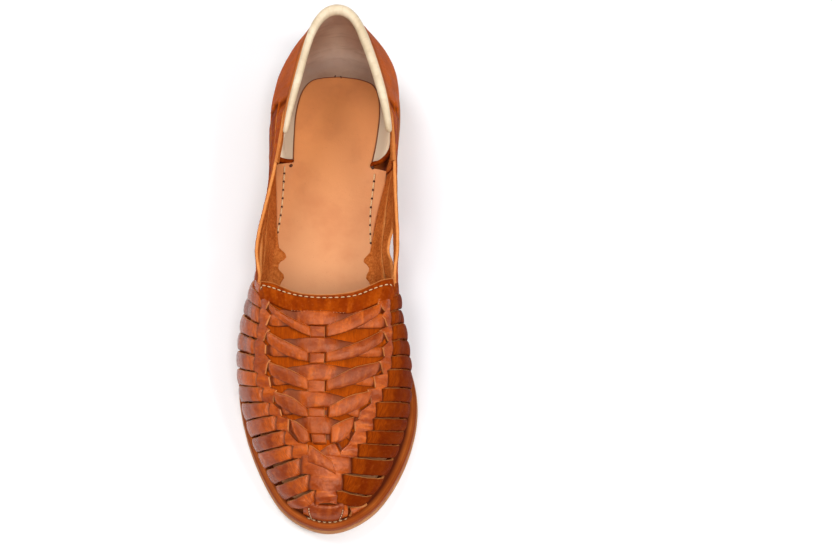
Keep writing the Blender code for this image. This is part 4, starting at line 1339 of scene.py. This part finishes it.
def throat_band(piece):
    """The band round the throat, one leather with the frame: a light lip along its top, then a gutter that
    the stitches lie in, and a soft swelling down to its lower edge."""
    top, foot = columns(BAND_TOP), columns(BAND_FOOT)

    def shape(share, side):
        over = between(top[0][0], top[0][-1], share)
        row = across(through(over, *top), through(over, *foot), side)
        lip = 0.85 * np.exp(-((side - 0.99) / 0.06)**2)
        gutter = 0.35 * np.exp(-((side - 0.80) / 0.09)**2)
        belly = 0.5 * np.exp(-((side - 0.1) / 0.45)**2)
        ends = 0.4 * smooth_step(np.abs(over - 1.49), 0.60, 0.69)
        return row, over, 0.35 + lip - gutter + belly - ends - 0.25 * smooth_step(-side, 0.8, 1.0), 0.0

    lay_strip(piece, vamp_point, shape, thickness=STRAP_LEATHER, dome=0.0, tone=-0.6, steps=180, wide=41,
              wave=0.1, edge_wave=0.03, pale=(0.1, 1.0), low=(-0.3, -0.9))


# Scalloped inner ends of the vamp's facings on the insole: row, how far in from the sole's edge
OUTER_SCALLOP = (
    (9.3, 2.6), (8.95, 3.6), (8.80, 4.4), (8.74, 5.8), (8.66, 7.9), (8.58, 8.6), (8.50, 7.9), (8.43, 6.3),
    (8.34, 5.6), (8.22, 5.9), (8.15, 7.4), (8.09, 9.2), (8.00, 10.0), (7.87, 9.4), (7.5, 9.0),
)
INNER_SCALLOP = (
    (9.4, 1.8), (9.1, 2.4), (8.93, 3.0), (8.86, 4.2), (8.78, 6.0), (8.71, 6.3), (8.64, 4.9), (8.55, 3.9),
    (8.46, 4.2), (8.38, 5.6), (8.30, 6.2), (8.21, 5.2), (8.11, 4.8), (7.6, 4.6),
)


def scallop(piece, inner, table):
    """The suede end of a facing, lying on the insole with a scalloped edge and turning up at the wall."""
    rows, insets = columns(table[::-1])

    def shape(share, side):
        row = between(rows[-1], rows[0], share)
        inset = between(0.6, np.interp(row, rows, insets), 0.5 + 0.5 * side)
        return (ROUND - row if inner else row), inset, 0.9 + 1.2 * smooth_step(-side, -0.5, 1.0), 0.0

    lay_strip(piece, seat_point, shape, thickness=SKIVED_LEATHER, dome=0.2, tone=0.3, steps=110, wide=15,
              wave=0.16, edge_wave=0.05, pale=(0.0, 0.0), low=(-3.0, -4.0), suede=1.0)


# ---------------------------------------------------------------- seams

# Rows of the insole's stitches and how far in from the sole's edge they lie, outer side and inner side
INSOLE_SEAMS = (
    ((10.88, 7.6), (10.39, 6.5), (9.89, 5.3), (9.42, 3.7), (9.19, 3.0)),
    ((10.82, 9.0), (10.36, 7.5), (9.90, 6.0), (9.27, 3.3), (9.14, 2.9)),
)
# Marks on the insole, the first two painted shade at the lining's front corners: place round the sole, how
# far in, half of the mark across and along the shoe, radius
NICKS = (
    (10.88, 10.8, -0.5, -0.8, 0.8), (ROUND - 10.98, 10.8, 0.5, -0.8, 0.8), (15.74, 16.2, 0.2, 0.7, 0.3),
    (16.16, 16.7, -0.2, 0.7, 0.3),
)


def sew(thread, holes, surface, first, second, height, pitch, share, radius, hole, lift=0.22):
    """Running stitches at an even pitch along a line on a surface, given by its two parameters: thread over
    the first share of each step, and a dark hole of painted shade where it goes down."""
    base = raised(surface, first, second, 0.0 * first)
    up = raised(surface, first, second, 0.0 * first + 1.0) - base
    base = base + up * height
    run = distance_along(base)
    place = np.linspace(0.0, run[-1], int(round(run[-1] / pitch)) + 1)
    points, up = (np.stack([np.interp(place, run, part[:, axis]) for axis in range(3)], axis=-1)
                  for part in (base, up))
    start, step, up = points[:-1], np.diff(points, axis=0), up[:-1]
    capsules(thread, start, start + step * share, up, radius, lift)
    down = start + step * (share + 1.0) / 2.0 - up * hole * 0.35
    capsules(holes, down - unit(step) * hole, down + unit(step) * hole, up, hole)


def sew_all(thread, holes):
    """Every seam: the throat band's two, the insole's two, both sides of the toe's plate and its foot."""
    line, foot = columns(STITCH_LINE), columns(BAND_FOOT)
    over = np.linspace(line[0][0], line[0][-1], 400)
    sew(thread, holes, vamp_point, through(over, *line), over, 0.75, 2.9, 0.66, 0.27, 0.2)
    over = np.linspace(1.22, 1.68, 200)
    sew(thread, holes, vamp_point, through(over, *foot) + 0.05, over, 0.35, 1.6, 0.3, 0.09, 0.22)
    for inner, seam in enumerate(INSOLE_SEAMS):
        rows, insets = columns(seam[::-1])
        row = np.linspace(rows[-1], rows[0], 60)
        around = ROUND - row if inner else row
        inset = np.interp(row, rows, insets)
        sew(thread, holes, seat_point, around, inset, 0.05, 4.9, 0.82, 0.4, 0.62, lift=0.1)
    climb = np.linspace(0.04, 0.70, 40)
    for side in (-1.0, 1.0):
        around = TIP + side * (plate_side(climb) - TIP)
        sew(thread, holes, wall_point, around, climb, 0.75, 1.5, 0.6, 0.2, 0.22)
    around = np.linspace(-0.62, 0.70, 60)
    sew(thread, holes, wall_point, around, 0.0 * around + 0.02, 0.75, 2.6, 0.64, 0.25, 0.3)


def nicks(holes):
    """Two dark smudges of painted shade at the front corners of the lining, and two small nicks at the heel
    seat.
    """
    around, inset, across_shoe, along_shoe, radius = columns(NICKS)
    middle = seat_point(around, inset)
    reach = np.stack([across_shoe, along_shoe, 0.0 * radius], axis=-1)
    up = np.tile((0.0, 0.0, 1.0), (len(NICKS), 1))
    capsules(holes, middle - reach, middle + reach, up, radius[:, None])


# ---------------------------------------------------------------- putting it together

VAMP = woven_leather("vamp_leather", 0.7, 1.0)
# The inner fingers' leather, darkened as painted shade.
INNER = woven_leather("inner_leather", 0.02, 0.9, dark=0.5)
SIDE = woven_leather("side_leather", 0.02, 0.9)
HEEL = woven_leather("counter_leather", 0.03, 0.35, dark=-0.25)

plate("outsole_leather", sole_leather(), "sole_leather", lambda u: 0.0 * u, underside,
      lambda y: underside(y) + OUTSOLE, OUTSOLE_RINGS)
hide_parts("outsole")
plate("welt_midsole", welt_leather(), "welt_leather", lambda u: 0.0 * u + 0.5,
      lambda y: underside(y) + OUTSOLE + 0.05, deck, MIDSOLE_RINGS)
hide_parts("midsole")
plate("insole_cover", insole_leather(), "insole_leather", insole_inset,
      lambda y: deck(y) + 0.1, lambda y: deck(y) + GAP + INSOLE, INSOLE_RINGS, places=INSOLE_PLACES,
      cut=smooth_step(row_of(INSOLE_PLACES), SLOT_ROW - 0.3, SLOT_ROW - 0.1))
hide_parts("insole")
heel_block("stacked_heel", heel_stack(), "heel_stack")
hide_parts("heel")

counter = Piece()
counter_shell(counter)
counter.make("counter_leather", HEEL)

lining_piece, edging = Piece(), Piece()
lining(lining_piece, edging)
lining_piece.make("heel_lining", lining_leather(), "collar_leather")
edging.make("lining_edging", SIDE)

roll = collar_roll("padded_collar", roll_leather(), "collar_leather")
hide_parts("collar_roll")

straps = Piece()
for inner in (False, True):
    for tables, slit, tone, under in STRAPS:
        strap(straps, inner, tables[inner], slit, tone, under)
straps.make("side_straps", SIDE)

for inner, name, finish in ((False, "outer_fingers", VAMP), (True, "inner_fingers", INNER)):
    fingers = Piece()
    for number in range(len(ENDS[inner])):
        finger(fingers, inner, number)
    made = fingers.make(name, finish)
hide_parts("upper")

throat_frame = Piece()
for inner in (False, True):
    frame_leather(throat_frame, inner)
throat_frame.make("throat_frame", VAMP)

band = Piece()
throat_band(band)
band.make("throat_band", SIDE)

ground = Piece()
middles = [*[lens[2][1:] for lens in LENSES], (3.3, 2.86)]
for number, (above, below, middle) in enumerate(zip((7.32, *OVERS), (*OVERS, 2.86), middles)):
    ground_strip(ground, above, below, middle, number)
ground.make("ground_strips", SIDE)

weave = Piece()
for number in range(len(LENSES)):
    lens_strip(weave, number)
    over_strip(weave, False, number)
    over_strip(weave, True, number)
middle_warp(weave)
crossing(weave, CROSSING_UNDER, -0.3, (0.2, 0.5), 0.6, (0.78, 0.92), 1.2, tone=0.6)
crossing(weave, CROSSING_OVER, -1.1, (0.09, 0.16), 2.0, (0.92, 0.99), 1.8, tone=-0.1)
weave.make("crossed_strips", VAMP)

toe = Piece()
toe_piece(toe)
toe_plate(toe, wider=0.22, foot=-0.02, top=0.94, lift=0.1, tone=0.6)
toe_plate(toe, wider=0.0, foot=-0.04, top=0.93, lift=0.65, tone=-0.9)
toe_flap(toe)
toe.make("toe_leather", VAMP)

scallops = Piece()
scallop(scallops, False, OUTER_SCALLOP)
scallop(scallops, True, INNER_SCALLOP)
scallops.make("facing_ends", SIDE)

thread, holes = Piece(), Piece()
sew_all(thread, holes)
nicks(holes)
thread.make("seam_thread", thread_finish())
# Dark holes and corner smudges of painted shade, with the heel seat's nicks
holes.make("stitch_holes", hole_shade_finish())

# ---------------------------------------------------------------- floor, light and camera

FLOOR_HALF = 3.0
AIM = (0.0, 0.0, 0.03)
# Square soft lights: name, place, aim, size, power, colour, whether it makes highlights
LIGHTS = (
    ("key", (-0.72, 0.47, 1.42), AIM, 0.85, 13.5, (1.0, 0.98, 0.95), True),
    ("window", (0.26, -0.62, 1.5), AIM, 0.4, 7.6, (1.0, 1.0, 1.0), True),
    ("front", (-0.19, -0.98, 1.4), AIM, 0.4, 7.0, (1.0, 1.0, 1.0), True),
    ("right", (0.98, -0.52, 1.15), AIM, 0.45, 8.5, (1.0, 1.0, 1.0), True),
    ("side", (0.75, 0.35, 1.25), (0.0, 0.05, 0.03), 0.8, 3.2, (1.0, 1.0, 1.0), False),
)
CAMERA_PLACE = (0.0512, -0.3974, 0.9135)
CAMERA_TILT = 24.0
CAMERA_TURN = 1.3
LENS = 85.37


def floor():
    """Plain pale floor: one wide face at z = 0, faintly mottled."""
    mesh = bpy.data.meshes.new("floor")
    corners = [(x * FLOOR_HALF, y * FLOOR_HALF, 0.0) for x, y in ((-1, -1), (1, -1), (1, 1), (-1, 1))]
    mesh.from_pydata(corners, [], [(0, 1, 2, 3)])
    f = Finish("floor_finish")
    f.finish(f.mix(tint(246, 246, 248), tint(250, 250, 252), f.noise(3.0)), 0.9, specular=0.1)
    mesh.materials.append(f.material)
    item = bpy.data.objects.new("floor", mesh)
    bpy.context.scene.collection.objects.link(item)


def area_light(name, place, aim, size, power, colour, shine):
    """A square soft light at a place, turned towards a point; without shine it makes no highlights."""
    light = bpy.data.lights.new(name, "AREA")
    light.size = size
    light.energy = power
    light.color = colour
    item = bpy.data.objects.new(name, light)
    item.location = place
    item.rotation_euler = (Vector(aim) - Vector(place)).to_track_quat("-Z", "Y").to_euler()
    item.visible_glossy = shine
    bpy.context.scene.collection.objects.link(item)


floor()
world = bpy.data.worlds.new("studio")
world.use_nodes = True
world.node_tree.nodes["Background"].inputs["Color"].default_value = (0.94, 0.96, 1.0, 1.0)
world.node_tree.nodes["Background"].inputs["Strength"].default_value = 0.16
bpy.context.scene.world = world
for light in LIGHTS:
    area_light(*light)
bpy.context.scene.view_settings.view_transform = "Standard"

camera = bpy.data.objects.new("camera", bpy.data.cameras.new("camera"))
camera.data.lens = LENS
camera.data.sensor_width = 36.0
camera.data.clip_start = 0.01
camera.location = CAMERA_PLACE
camera.rotation_euler = (np.radians(CAMERA_TILT), 0.0, np.radians(CAMERA_TURN))
bpy.context.scene.collection.objects.link(camera)
bpy.context.scene.camera = camera
